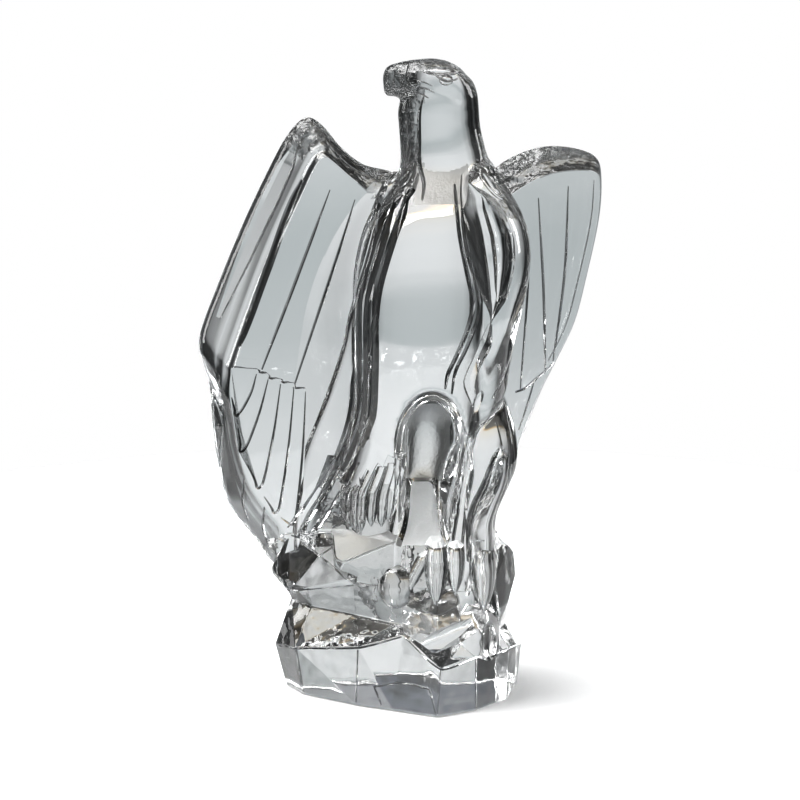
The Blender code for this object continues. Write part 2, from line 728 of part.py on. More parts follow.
def groove_rings(path, surface_at, set_back=0.0, facing=-1):
    """A V groove along a path of (X, Z) points on a wing, tapered at its two ends.

    facing is -1 for a groove cut from the front, and 1 for one cut from behind.
    """
    path = np.array(path, float)
    runs = np.gradient(path, axis=0)
    runs /= np.linalg.norm(runs, axis=1, keepdims=True)
    rings = []
    for i, (middle, run) in enumerate(zip(path, runs)):
        share = 0.25 if i in (0, len(path) - 1) else 1.0
        side = np.array([-run[1], run[0]]) * GROOVE_WIDTH / 2 * share
        surface = float(surface_at(middle[0])) + set_back
        left, right = middle - side, middle + side
        rings.append(
            [
                (left[0], surface + facing, left[1]),
                (right[0], surface + facing, right[1]),
                (right[0], surface, right[1]),
                (middle[0], surface - facing * GROOVE_DEPTH * share, middle[1]),
                (left[0], surface, left[1]),
            ]
        )
    return rings


# The two hollows of the leaf, one in the other, as leaf_rings() takes them
LEAF_HOLLOWS = {
    "leaf": (0.0, 1.0, 202.6, 150.6, -18.5, 6.5),
    "leaf_bowl": (0.3, 0.95, 198.5, 155.0, -16.0, 8.0),
}


class Surface:
    """The outside of several forms, on which paths of (X, Z) points are laid from the front."""

    def __init__(self, meshes):
        points, faces = [], []
        for mesh in meshes:
            first = len(points)
            points += [corner.co.copy() for corner in mesh.vertices]
            faces += [[first + index for index in face.vertices] for face in mesh.polygons]
        self.tree = BVHTree.FromPolygons(points, faces)

    def tube(self, path, radii):
        """The rings of a round cutter along the path, as far as it meets the forms."""
        far = -200.0
        points, kept = [], []
        for (x, z), radius in zip(path, radii):
            hit = self.tree.ray_cast(Vector((x, far, z)) * MM, Vector((0, 1, 0)))[0]
            if hit is not None:
                points.append((x, hit.y / MM, z))
                kept.append(radius)
        return tube_rings(points, kept)


# The round cuts that part the breast from the wings: name: (path of (X, Z), radii along it)
VALLEYS = {
    "valley_left": (
        [
            (-6.9, 195.1), (-12.0, 175.7), (-16.1, 161.0), (-17.1, 149.9), (-17.1, 138.0),
            (-17.1, 128.6), (-18.4, 114.2), (-23.0, 99.0), (-30.0, 83.7),
        ],
        [0.9, 1.5, 1.7, 1.9, 2.0, 2.0, 2.1, 2.3, 1.6],
    ),
    "valley_middle": (
        [
            (1.0, 215.0), (0.0, 203.0), (-2.5, 194.0), (-7.6, 179.4), (-12.2, 162.9),
            (-13.5, 151.7), (-13.5, 138.0), (-13.6, 128.6), (-14.8, 114.2), (-19.0, 100.9),
            (-24.6, 87.6), (-31.0, 76.0),
        ],
        [0.5, 1.3, 1.6, 1.7, 1.7, 1.8, 1.9, 2.0, 2.2, 2.4, 2.4, 1.0],
    ),
    "valley_right": (
        [
            (4.4, 205.0), (1.0, 192.9), (-3.3, 181.2), (-8.2, 164.7), (-9.9, 151.7),
            (-10.0, 140.6), (-10.4, 128.6), (-11.3, 116.1), (-14.8, 104.0),
        ],
        [0.4, 1.3, 1.6, 1.6, 1.6, 1.7, 1.8, 1.8, 0.8],
    ),
    "lobe_line": (
        [
            (20.0, 200.5), (20.4, 196.1), (21.7, 183.3), (24.4, 170.5), (26.8, 159.5),
            (25.6, 151.4), (21.4, 140.9), (17.6, 132.7), (16.6, 127.0),
        ],
        [0.5, 0.9, 1.0, 1.1, 1.2, 1.2, 1.2, 1.1, 0.5],
    ),
}  # fmt: skip


def straight(start, end):
    """A path of four points along a straight line, closer together at its ends."""
    start, end = np.array(start, float), np.array(end, float)
    return [start + (end - start) * t for t in (0.0, 0.08, 0.92, 1.0)]


RIGHT_STEP = [(44.0, 119.0), (48.0, 120.4), (53.0, 124.4), (59.6, 129.6)]


def grooves():
    """Every line between feathers, by name."""
    found = {
        "left_line_1": groove_rings(straight((-25.2, 197.6), (-52.6, 130.2)), left_front),
        "left_line_2": groove_rings(straight((-16.2, 194.0), (-39.8, 124.6)), left_front),
        "right_line_1": groove_rings(straight((52.0, 193.0), (55.6, 127.0)), right_front),
        "right_line_2": groove_rings(straight((63.4, 197.0), (58.6, 130.0)), right_front),
        "right_step": groove_rings(RIGHT_STEP, right_front),
        "right_line_3": groove_rings(straight((51.0, 122.0), (45.6, 104.0)), right_front),
    }
    behind = {
        "left_back_1": ((-31.0, 208.0), (-66.0, 132.0), left_front),
        "left_back_2": ((-22.0, 200.0), (-56.0, 118.0), left_front),
        "left_back_3": ((-64.0, 124.0), (-62.0, 84.0), left_front),
        "left_back_4": ((-54.0, 112.0), (-53.0, 70.0), left_front),
        "right_back_1": ((56.0, 202.0), (58.0, 134.0), right_front),
        "right_back_2": ((66.0, 203.0), (63.0, 142.0), right_front),
        "right_back_3": ((54.0, 128.0), (46.0, 100.0), right_front),
    }
    for name, (start, end, front_at) in behind.items():
        found[name] = groove_rings(straight(start, end), front_at, WING_THICKNESS, facing=1)
    for index in range(len(LEFT_LINES_TOP)):
        found[f"left_feather_{index + 1}"] = groove_rings(
            feather_tip_path(index), left_front, LAYER_STEP
        )
    return found


# ---------------------------------------------------------------- assembly


def crystal_material():
    material = bpy.data.materials.new("clear_crystal")
    material.use_nodes = True
    shader = material.node_tree.nodes["Principled BSDF"]
    shader.inputs["Base Color"].default_value = (0.97, 0.985, 0.985, 1.0)
    shader.inputs["Metallic"].default_value = 0.0
    shader.inputs["Roughness"].default_value = 0.01
    shader.inputs["IOR"].default_value = 1.55
    shader.inputs["Transmission Weight"].default_value = 1.0
    return material


def add_collection(name):
    collection = bpy.data.collections.new(name)
    bpy.context.scene.collection.children.link(collection)
    return collection


def add_joined_forms(collection):
    """Every form that the cast figure is the union of, apart from the rock itself."""
    forms = {
        "body": body_rings(),
        "head": head_rings(),
        "beak_tip": beak_tip_rings(),
        "left_leg": left_leg_rings(),
        "right_thigh": bare_thigh_rings(),
        "right_shank": bare_shank_rings(),
        "inner_lip": inner_lip_rings(),
        "right_shoulder": shoulder_rings(),
        "swell": swell_rings(),
        "tail": tail_rings(),
        "left_flank": flank_rings(),
        "left_wing": wing_rings(LEFT_WING_RIM, LEFT_WING_PANEL, left_front, 2),
        "right_wing": wing_rings(RIGHT_WING_RIM, RIGHT_WING_PANEL, right_front, 2),
    }
    forms.update(locks())
    for name, toe in TOES.items():
        forms[name] = toe_rings(*toe)
    for name, rings in forms.items():
        add_solid(name, mesh_of_rings(name, rings), collection)
    hem = add_solid("hem", mesh_of_rings("hem", hem_rings(), is_round=False), add_collection("hem"))
    trim = collection.objects["body"].modifiers.new("cut the hem", "BOOLEAN")
    trim.operation = "DIFFERENCE"
    trim.object = hem
    trim.solver = "EXACT"
    for name, (centre, half_sizes) in EYE_AND_BROW.items():
        add_solid(name, ball(name, centre, half_sizes), collection)
    for name, corners in BOULDERS.items():
        add_solid(name, hull(name, corners), collection)
    add_solid("left_toe", ball("left_toe", *LEFT_TOE), collection)


def add_cuts(collection, flesh):
    """Every form that is cut out of the joined figure. flesh is the meshes that get the valleys."""
    cutters = {
        "niche": niche_rings(),
        "channel": tube_rings(*PROW_CHANNEL, sides=12),
        "left_secondaries": field_rings(LEFT_STEPS + LEFT_FIELD, left_front, LAYER_STEP),
    }
    for name, shares in LEAF_HOLLOWS.items():
        cutters[name] = leaf_rings(*shares)
    cutters.update(grooves())
    surface = Surface(flesh)
    for name, (path, radii) in VALLEYS.items():
        cutters[name] = surface.tube(path, radii)
    for name, rings in cutters.items():
        add_solid(name, mesh_of_rings(name, rings), collection)
    for name, (centre, half_sizes) in SCOOPS.items():
        add_solid(name, ball(name, centre, half_sizes), collection)


def add_boolean(target, operation, collection):
    boolean = target.modifiers.new(f"{operation.lower()} {collection.name}", "BOOLEAN")
    boolean.operation = operation
    boolean.operand_type = "COLLECTION"
    boolean.collection = collection
    boolean.solver = "EXACT"


def main():
    for old in list(bpy.data.objects):
        bpy.data.objects.remove(old)
    joined = add_collection("joined forms")
    cuts = add_collection("cuts")
    add_joined_forms(joined)
    add_cuts(cuts, [joined.objects[name].data for name in ("body", "swell", "right_shoulder")])
    rock = mesh_of_rings("crystal_eagle", rock_rings(), is_round=False)
    eagle = bpy.data.objects.new("crystal_eagle", rock)
    bpy.context.scene.collection.objects.link(eagle)
    eagle.data.materials.append(crystal_material())
    add_boolean(eagle, "UNION", joined)
    add_boolean(eagle, "DIFFERENCE", cuts)


main()
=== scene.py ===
"""Looks of the crystal eagle: the finely carved, polished figure, and the studio it stands in.

Every length in the tables is in millimetres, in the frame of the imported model: X to the right as one
looks at the eagle's chest, Y to its back, Z up. Meshes are made in metres.

The figure is one casting. Its flowing forms are joined and run into each other. They are joined to
the cut rock and to the crisp forms: wings, right leg, toes and locks of feathers. Last, all the
lines are cut.
"""

import json
import math

import bmesh
import bpy
import numpy as np
from mathutils import Matrix, Vector
from mathutils.bvhtree import BVHTree

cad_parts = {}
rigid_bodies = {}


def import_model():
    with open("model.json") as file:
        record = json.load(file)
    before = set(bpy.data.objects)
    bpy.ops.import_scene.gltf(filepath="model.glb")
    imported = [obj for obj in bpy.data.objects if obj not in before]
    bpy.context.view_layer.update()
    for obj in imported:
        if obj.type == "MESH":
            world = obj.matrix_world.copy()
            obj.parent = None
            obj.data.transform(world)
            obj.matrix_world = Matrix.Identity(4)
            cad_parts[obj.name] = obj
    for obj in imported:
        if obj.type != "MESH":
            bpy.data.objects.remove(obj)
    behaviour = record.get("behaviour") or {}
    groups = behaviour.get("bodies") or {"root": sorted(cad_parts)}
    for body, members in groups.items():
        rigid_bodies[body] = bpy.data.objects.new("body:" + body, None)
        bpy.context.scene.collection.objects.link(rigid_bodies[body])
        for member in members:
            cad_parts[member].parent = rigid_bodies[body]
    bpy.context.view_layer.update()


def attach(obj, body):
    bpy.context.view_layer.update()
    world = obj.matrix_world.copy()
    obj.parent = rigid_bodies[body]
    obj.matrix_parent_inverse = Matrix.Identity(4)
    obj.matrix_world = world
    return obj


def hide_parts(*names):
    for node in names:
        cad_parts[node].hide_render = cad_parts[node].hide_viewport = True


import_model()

MM = 0.001
SHARP_ANGLE = math.radians(30)
BEVELLED_ANGLE = math.radians(10)  # edges of the rock which are sharper get a bevel
ROCK_BEVEL = 0.4
FLESH_VOXEL = 0.95  # cell size with which the flowing forms are built anew
FLESH_EASE = 10  # and how often they are smoothed
VEE_STEEPNESS = 1.5  # depth of a V groove over half its width
VEE_EXCESS = 0.8  # how far its cutter goes on above the surface, as a share of its depth
GROOVE_STEP = 1.6  # length of one step along a groove
CUTTER_REACH = 30.0  # how far the cutter for the wing's step stands out in front
RAY_START = 0.2  # metres before or behind the figure from where lines are laid on it

# What runs along a form, across it, and from its front to its back
UPRIGHT = (2, 0, 1)
SIDEWAYS = (0, 2, 1)


# ---- curves and meshes


def curve(t, start, leave, end, arrive):
    """Points on a smooth curve from start to end, which leaves and arrives in the given directions."""
    return (
        (2 * t**3 - 3 * t**2 + 1) * start
        + (t**3 - 2 * t**2 + t) * leave
        + (3 * t**2 - 2 * t**3) * end
        + (t**3 - t**2) * arrive
    )


def smooth_rows(rows, count):
    """Rows of numbers read from a smooth curve through the given rows, evenly in their first column."""
    rows = np.array(rows, float)
    knots = rows[:, 0]
    slopes = np.gradient(rows, knots, axis=0)
    places = np.linspace(knots[0], knots[-1], count)
    order = np.argsort(knots)
    left = np.clip(np.searchsorted(knots[order], places, side="right") - 1, 0, len(rows) - 2)
    if knots[0] > knots[-1]:
        left = len(rows) - 2 - left
    span = (knots[left + 1] - knots[left])[:, None]
    t = (places - knots[left])[:, None] / span
    return curve(t, rows[left], span * slopes[left], rows[left + 1], span * slopes[left + 1])


def smooth_path(points, count):
    """Evenly numbered points on a smooth curve through the given ones."""
    points = np.array(points, float)
    indexed = np.column_stack([np.arange(len(points)), points])
    return smooth_rows(indexed, count)[:, 1:]


def closed_outline(points, per_side):
    """A closed smooth outline through the points, with per_side steps between two of them."""
    points = np.array(points, float)
    count = len(points)
    t = np.arange(per_side)[:, None] / per_side
    found = []
    for i in range(count):
        before, start, end, after = (points[(i + k) % count] for k in (-1, 0, 1, 2))
        found.append(curve(t, start, (end - before) / 2, end, (after - start) / 2))
    return np.concatenate(found)


def inset(outline, distance):
    """The outline moved inwards by distance, along the bisector at each of its points."""
    ahead = np.roll(outline, -1, axis=0) - np.roll(outline, 1, axis=0)
    ahead /= np.linalg.norm(ahead, axis=1, keepdims=True)
    turned = np.stack([-ahead[:, 1], ahead[:, 0]], axis=1)
    following = np.roll(outline, -1, axis=0)
    area = np.sum(outline[:, 0] * following[:, 1] - outline[:, 1] * following[:, 0])
    return outline + turned * distance * np.sign(area)


def standing_outline(outline, front_at, depth, distance=0.0):
    """A ring in space from an outline of (X, Z) points, at that depth behind front_at(X)."""
    moved = inset(outline, distance) if distance else outline
    return np.stack([moved[:, 0], front_at(moved[:, 0]) + depth, moved[:, 1]], axis=1)


def loft(stations, sides, rings, squareness=2.2, axes=UPRIGHT):
    """Rings of a form with an oval section that changes along one axis.

    A station is (place along, low across, high across, front, back), and may end with its own
    squareness. squareness 2 is an ellipse, and more is fuller in the corners.
    """
    along, across, deep = axes
    turns = np.linspace(0, 2 * math.pi, sides, endpoint=False)
    found = []
    for place, low, high, front, back, *own in smooth_rows(stations, rings):
        power = 2 / (own[0] if own else squareness)
        ring = np.zeros((sides, 3))
        ring[:, along] = place
        round_x = np.sign(np.cos(turns)) * np.abs(np.cos(turns)) ** power
        round_y = np.sign(np.sin(turns)) * np.abs(np.sin(turns)) ** power
        ring[:, across] = (low + high) / 2 + (high - low) / 2 * round_x
        ring[:, deep] = (front + back) / 2 + (back - front) / 2 * round_y
        found.append(ring)
    return found


def tube_rings(points, radii, sides=8):
    """Rings of a tube that follows points in space."""
    points = np.array(points, float)
    radii = np.broadcast_to(radii, len(points))
    runs = np.gradient(points, axis=0)
    runs /= np.linalg.norm(runs, axis=1, keepdims=True)
    side = np.cross(runs[0], (0.0, 1.0, 0.0))
    side /= np.linalg.norm(side)
    turns = np.linspace(0, 2 * math.pi, sides, endpoint=False)
    rings = []
    for point, run, radius in zip(points, runs, radii):
        side = side - run * np.dot(side, run)
        side /= np.linalg.norm(side)
        other = np.cross(run, side)
        rings.append([point + radius * (math.cos(a) * side + math.sin(a) * other) for a in turns])
    return rings


def mesh_from(name, shape):
    """A new mesh with what the bmesh holds. The bmesh is freed."""
    mesh = bpy.data.meshes.new(name)
    shape.to_mesh(mesh)
    shape.free()
    return mesh


def round_edges(shape, width):
    """Bevel the edges of a faceted bmesh."""
    bmesh.ops.recalc_face_normals(shape, faces=shape.faces)
    crisp = [edge for edge in shape.edges if edge.calc_face_angle(0.0) > BEVELLED_ANGLE]
    bmesh.ops.bevel(
        shape, geom=crisp, offset=width * MM, segments=3, profile=0.5, affect="EDGES", clamp_overlap=True
    )


def mesh_of_rings(name, rings, bevel=None):
    """A closed mesh through rings of equally many points, capped by a face at each end."""
    rings = np.asarray(rings, float)
    ring_count, side_count, _ = rings.shape
    shape = bmesh.new()
    points = [[shape.verts.new(p * MM) for p in ring] for ring in rings]
    for i in range(ring_count - 1):
        for k in range(side_count):
            after = (k + 1) % side_count
            shape.faces.new((points[i][k], points[i][after], points[i + 1][after], points[i + 1][k]))
    shape.faces.new(points[0][::-1])
    shape.faces.new(points[-1])
    if bevel:
        bmesh.ops.triangulate(shape, faces=shape.faces)
        round_edges(shape, bevel)
    bmesh.ops.recalc_face_normals(shape, faces=shape.faces)
    return mesh_from(name, shape)


def hull(name, corners):
    """The smallest convex block round the corners, its edges rounded a little."""
    shape = bmesh.new()
    for corner in corners:
        shape.verts.new(Vector(corner) * MM)
    made = bmesh.ops.convex_hull(shape, input=shape.verts)
    spare = [part for part in made["geom_interior"] if isinstance(part, bmesh.types.BMVert)]
    bmesh.ops.delete(shape, geom=spare, context="VERTS")
    round_edges(shape, ROCK_BEVEL)
    return mesh_from(name, shape)


def ball(name, centre, half_sizes, segments=32):
    """An egg shape with those half sizes."""
    shape = bmesh.new()
    bmesh.ops.create_uvsphere(shape, u_segments=segments, v_segments=segments // 2, radius=1.0)
    for corner in shape.verts:
        corner.co = Vector(c + x * s for c, x, s in zip(centre, corner.co, half_sizes)) * MM
    return mesh_from(name, shape)


def combined(name, base, joined=None, cut=None, voxel=None, ease=0):
    """The mesh base with the meshes in joined added and those in cut taken away, all by name.

    With voxel, the result is built anew from cells of that size and eased, so that creases and
    edges get rounded.
    """
    scene_root = bpy.context.scene.collection
    target = bpy.data.objects.new(name, base)
    scene_root.objects.link(target)
    helpers = []
    for operation, meshes in (("UNION", joined), ("DIFFERENCE", cut)):
        if not meshes:
            continue
        collection = bpy.data.collections.new(f"{name} {operation}")
        scene_root.children.link(collection)
        for form_name, mesh in meshes.items():
            collection.objects.link(bpy.data.objects.new(form_name, mesh))
        helpers.append(collection)
        boolean = target.modifiers.new(operation, "BOOLEAN")
        boolean.operation = operation
        boolean.operand_type = "COLLECTION"
        boolean.collection = collection
        boolean.solver = "MANIFOLD"
    if voxel:
        cells = target.modifiers.new("cells", "REMESH")
        cells.mode = "VOXEL"
        cells.voxel_size = voxel * MM
        easing = target.modifiers.new("ease", "SMOOTH")
        easing.factor = 0.5
        easing.iterations = ease
    graph = bpy.context.evaluated_depsgraph_get()
    mesh = bpy.data.meshes.new_from_object(target.evaluated_get(graph))
    mesh.name = name
    bpy.data.objects.remove(target)
    for collection in helpers:
        for form in list(collection.objects):
            bpy.data.objects.remove(form)
        bpy.data.collections.remove(collection)
    return mesh


def largest_shell(mesh):
    """The mesh without the crumbs which cutting has left."""
    shape = bmesh.new()
    shape.from_mesh(mesh)
    waiting = set(shape.verts)
    shells = []
    while waiting:
        reached = [waiting.pop()]
        shell = []
        while reached:
            corner = reached.pop()
            shell.append(corner)
            for edge in corner.link_edges:
                other = edge.other_vert(corner)
                if other in waiting:
                    waiting.remove(other)
                    reached.append(other)
        shells.append(shell)
    shells.sort(key=len)
    crumbs = [corner for shell in shells[:-1] for corner in shell]
    bmesh.ops.delete(shape, geom=crumbs, context="VERTS")
    shape.to_mesh(mesh)
    shape.free()
    return mesh


# ---- the flowing forms


LEFT_LEG = [
    (60, -19.5, -1.5, -20, 6), (68, -20.5, -1, -22, 9), (76, -21, -0.6, -22.6, 9),
    (86, -20.5, 0.2, -22.8, 9), (95, -16, 2, -22.8, 9), (108, -10, 3, -22.8, 9),
]
# Chest and belly with the neck, from the hem of the left hip up into the skull: loft()'s arguments
BODY = ([
    (88, -24, 25.5, -25, 10, 3), (95, -22, 27, -26.2, 12, 3), (106, -19.5, 29, -27.6, 15, 3),
    (117, -18, 31, -28.9, 17, 3), (136, -17.5, 33, -30.8, 18, 3), (152, -17.5, 34.5, -31.4, 18.5, 3),
    (162, -17, 34.5, -31.2, 18.5, 3), (172, -15.5, 34, -30.2, 18, 3), (180, -13.5, 33.6, -28.3, 17.4, 3),
    (186, -11, 33.6, -25.8, 16.8, 3), (190, -8.5, 34, -23.2, 16.4, 3), (194, -5.5, 34.4, -19.6, 15.8, 2.9),
    (198, -2.8, 34.8, -16, 15.2, 2.8), (204, -0.2, 34.4, -11.2, 14.6, 2.6), (208, 0.2, 33, -9.2, 14.2, 2.5),
    (214, 0, 31.2, -8.4, 13.6, 2.5), (220, -0.4, 29.8, -8.8, 13, 2.5), (227, -0.6, 29.2, -9.8, 12, 2.5),
    (233, 1.5, 28.4, -10.4, 10.5, 2.5), (238, 6, 26, -9.5, 8, 2.4), (241, 10, 22, -7, 5, 2.4),
], 72, 90)
# What is joined to it, in the same way. The head is seen from its side by one who faces the chest.
FLESH = {
    "head": ([
        (-6.4, 236.6, 239.4, -3.5, -1.5), (-5.4, 233.6, 241.6, -6, 1), (-2, 231.6, 243.4, -7.5, 3),
        (2, 230.6, 244.4, -9, 5), (7, 229.5, 245, -10.5, 7.5), (12.5, 228, 245.2, -11, 9.5),
        (18.5, 226, 243.8, -10.8, 10.5), (23.5, 225, 240.4, -9.6, 9.5), (26.6, 225, 235.6, -6.5, 6.5),
        (28.2, 226, 230.4, -4, 2),
    ], 48, 44, 2.3, SIDEWAYS),
    "beak_tip": ([
        (231.4, -5.2, -2.4, -3.4, -1.6), (232.6, -5.8, -0.8, -4.8, -0.2), (235, -6.2, 1.5, -6, 1),
        (239, -4, 4, -6, 1),
    ], 24, 16),
    "left_leg": (LEFT_LEG, 48, 30, 2.8),
    "inner_lip": ([
        (60, 10, 22.2, -25, 2), (70, 10, 22.8, -26, 2), (84, 10, 24.8, -27, 2), (98, 12, 27, -27.6, 2),
        (108, 14, 27.6, -27, 2),
    ], 40, 36),
    "tail": ([
        (26, 0, 20, 28, 37.4), (32, -4, 25, 24, 37.6), (45, -9, 30, 16, 36.5), (62, -14, 34.5, 6, 33.5),
        (72, -16, 35, 2, 31.5), (84, -17.5, 38, 0, 29), (95, -17, 42, 0, 27), (106, -16.5, 42, 0, 24.5),
        (118, -15, 38, 0, 21.5), (142, -12, 30, 0, 17.5), (160, -4, 22, 0, 15),
    ], 48, 60, 5),
    "left_flank": ([
        (44, -40, -2, 2, 19), (60, -42, 0, 0, 16), (76, -40, 2, 0, 14), (96, -34, 4, 1, 13),
        (116, -26, 4, 2, 12.5), (136, -19, 4, 3, 12), (156, -14, 2, 4, 11), (166, -8, -2, 5, 9),
    ], 48, 60, 8),
    "right_shoulder": ([
        (110.5, 28, 33, -15, 6), (114, 25, 36.5, -18, 12), (120, 23, 39.6, -20, 14),
        (131, 22, 41.5, -23, 16), (143, 22, 43.5, -25, 17), (154, 22.5, 46, -26, 17),
        (165, 21, 48.2, -26, 17), (176, 20, 48.6, -25.5, 17), (185, 19, 46.8, -24, 16),
        (194, 19, 42.4, -21, 15), (201, 21.5, 37.6, -17, 13), (207, 26, 34.4, -10, 8),
    ], 56, 60),
}


def flesh_mesh():
    """The bird without its wing panels, right leg, toes and locks, its forms run into each other."""
    joined = {name: mesh_of_rings(name, loft(*form)) for name, form in FLESH.items()}
    cut = {"niche": mesh_of_rings("niche", niche_rings())}
    base = mesh_of_rings("body", loft(*BODY))
    return combined("flesh", base, joined, cut, voxel=FLESH_VOXEL, ease=FLESH_EASE)


# ---- legs, feathers and face


# The right thigh, a leaf shape that ends in a point at the top, and the lower leg in front of it
RIGHT_LEG = {
    "thigh": ([
        (60, 20.5, 36, -20, 4), (68, 20.4, 36.2, -22, 8), (76, 20.6, 36.9, -22.5, 10),
        (85, 21.8, 40.4, -23, 10), (95, 23.6, 44.2, -22.5, 11), (105, 25, 43.9, -21, 11),
        (110, 27.4, 42.8, -19, 10), (113, 31, 41.8, -17, 9), (116.5, 35.6, 40.6, -14.5, 6),
        (119, 38, 39.4, -12.5, 2),
    ], 48, 50, 3.8),
    "shank": ([
        (60, 24.4, 35.4, -26.5, -8), (68, 24.4, 35.2, -27.5, -8), (76, 24.8, 35.1, -28, -10),
        (82, 26.4, 36.8, -28, -12), (90, 30.2, 39.6, -27.5, -13), (97, 33, 40.6, -26.5, -14),
        (101, 34.8, 39.9, -25.5, -15), (103.2, 36.8, 38, -23.5, -17),
    ], 40, 40, 3),
}
# Locks of feathers side by side round the front of the left leg: where each one stands, in degrees,
# and the heights of its upper end and of its point
LOCK_TURNS = np.radians([172, 155, 138, 121, 105, 90, 75, 59, 42])
LOCK_NUMBERS = np.arange(len(LOCK_TURNS))
LOCK_TOPS = 90 + 1.3 * LOCK_NUMBERS
LOCK_TIPS = 67.2 + 0.95 * LOCK_NUMBERS + 1.2 * (LOCK_NUMBERS % 2)
LOCK_RADIUS = 2.1
LOCK_ROUNDNESS = 0.71  # power that gives the left leg's section
EYE_AND_BROW = {
    "eye": ((16.8, -10.4, 238.0), (2.6, 2.2, 2.0)),
    "brow": ((15.0, -8.8, 241.0), (7.0, 3.4, 1.7)),
}
# Each is (knuckle, talon's point, width, front, back)
TOES = {
    "toe_1": ((9.8, 64), (1.8, 45.6), 6.6, -26.4, -10),
    "toe_2": ((13.6, 68.6), (13.5, 42.6), 9.6, -31.4, -10),
    "toe_3": ((20.6, 67.8), (20.6, 47), 8, -30, -10),
    "toe_4": ((30.6, 67), (31.4, 40), 11, -28.6, -8),
}
# A toe's shape: share of its height, share of its width, and how far its front stands back
TOE_SHAPE = [
    (0, 0.08, 3), (0.1, 0.4, 1.4), (0.25, 0.74, 0.5), (0.45, 0.96, 0), (0.65, 1, 0), (0.82, 0.94, 0.3),
    (0.93, 0.8, 1.2), (1, 0.45, 3.2),
]


def lock_rings(turn, top, bottom):
    """One upright lock of feathers on the left leg, with a point at its lower end."""
    stations = np.array(LEFT_LEG, float)
    steps = ((top, 0.9), (0.55 * top + 0.45 * bottom, 1.0), (bottom + 4, 0.9), (bottom, 0.15))
    to_right = np.sign(math.cos(turn)) * abs(math.cos(turn)) ** LOCK_ROUNDNESS
    to_front = abs(math.sin(turn)) ** LOCK_ROUNDNESS
    turns = np.linspace(0, 2 * math.pi, 17)[:-1]
    rings = []
    for height, share in smooth_path(steps, 14):
        low, high, front, back = (np.interp(height, stations[:, 0], stations[:, k]) for k in (1, 2, 3, 4))
        x = (low + high) / 2 + (high - low) / 2 * to_right
        y = (front + back) / 2 - (back - front) / 2 * to_front
        radius = LOCK_RADIUS * share
        rings.append([(x + radius * math.cos(a), y + radius * math.sin(a), height) for a in turns])
    return rings


def locks():
    """All the locks, by name."""
    each = zip(LOCK_TURNS, LOCK_TOPS, LOCK_TIPS)
    return {f"lock_{i + 1}": lock_rings(*lock) for i, lock in enumerate(each)}


def toe_rings(knuckle, talon, width, front, back):
    """One toe, which bends over the edge of the rock: a rounded knuckle on top, a talon below.

    knuckle and talon are the (X, Z) of its top and of its lower point.
    """
    stations = []
    for share, wide, recess in TOE_SHAPE:
        middle = talon[0] + (knuckle[0] - talon[0]) * share
        height = talon[1] + (knuckle[1] - talon[1]) * share
        half = width / 2 * wide
        stations.append((height, middle - half, middle + half, front + recess, back))
    return loft(stations, sides=32, rings=30)


# ---- the wings


LAYER_STEP = 1.2  # from the left wing's upper feathers back to the lower ones
# A wing's section, from its back over the sharp rim and the fluted bevel to its front panel: (share of
# the way from the panel's outline to the rim's, depth behind the panel, inset)
WING_SECTION = [
    (0.1, 15, 0), (0.2, 14.8, 0), (1, 11.7, 0.5), (1, 11.45, 0.1), (1, 11.2, 0), (1, 10.9, 0.25),
    (0.93, 9.85, 0), (0.85, 8.95, 0), (0.75, 8, 0), (0.65, 7.05, 0), (0.55, 6.15, 0), (0.5, 5.85, 0),
    (0.45, 5.55, 0), (0.35, 4.7, 0), (0.25, 3.75, 0), (0.15, 2.75, 0), (0.1, 1.9, 0), (0.05, 0.95, 0),
    (0, 0.2, 0), (0, 0, 0.4),
]
LEFT_WING_RIM = [
    (-34.5, 223.2), (-40.5, 218.6), (-47.3, 207.4), (-59.6, 182), (-73.5, 148.5), (-76.2, 137.5),
    (-74.6, 130.5), (-72.4, 121), (-71.6, 105), (-69.4, 88.8), (-65.5, 74.5), (-56, 61.4), (-48, 51),
    (-35, 56), (-20, 88), (-8, 140), (0, 180), (4, 200), (-4.5, 203.2), (-13.8, 205.6), (-21.9, 211.8),
    (-28.6, 219.8),
]
LEFT_WING_PANEL = [
    (-28, 209.6), (-31.4, 205.6), (-37.2, 193.6), (-48.3, 169), (-61.2, 134), (-62.9, 127), (-63.5, 119),
    (-62.4, 110), (-60.6, 98), (-57.4, 86.5), (-52.4, 77.2), (-46.6, 69.6), (-42, 64.5), (-34.5, 74),
    (-25, 95), (-17.6, 130), (-13.5, 168), (-8.6, 189), (-9.4, 193.8), (-14, 198.6), (-19, 202.8),
    (-24.6, 207.8),
]
RIGHT_WING_RIM = [
    (30, 199), (36, 203.6), (41.6, 207.2), (49.2, 210), (58, 211.2), (68.3, 209.6), (75, 206.2),
    (77.2, 199), (76.6, 183.2), (72, 160.4), (67.6, 143.1), (60.8, 128.7), (54, 114.9), (46.8, 96.3),
    (43, 84.9), (34, 80), (24, 92), (22, 130), (24, 178),
]
RIGHT_WING_PANEL = [
    (33, 188), (39, 192.8), (44, 196.2), (50, 199.6), (57.5, 202.2), (66, 203), (73.4, 202.2),
    (75.6, 197.6), (74.8, 183), (70.3, 160.6), (65.8, 143.5), (58.8, 129.4), (52, 115.8), (44.9, 97.6),
    (41, 87), (35, 86), (28, 96), (27, 130), (29, 174),
]
# The left wing's inner part: height, left edge, right edge, how far the right edge stands out
SWELL = [
    (64, -46, -41.5, 1), (72, -47, -38.5, 3), (81, -47, -33.5, 5), (92, -46, -26.5, 7.5),
    (104, -44.5, -20.5, 9), (121, -42, -16.8, 10), (138, -39.5, -15.6, 10.3), (154, -36.5, -15.2, 10),
    (170, -31, -13, 9), (182, -25, -10, 7), (193, -17, -6.5, 4.4), (200, -10, -4, 2),
]
SWELL_BACK = 8.0  # depth of its flat back, inside the wing
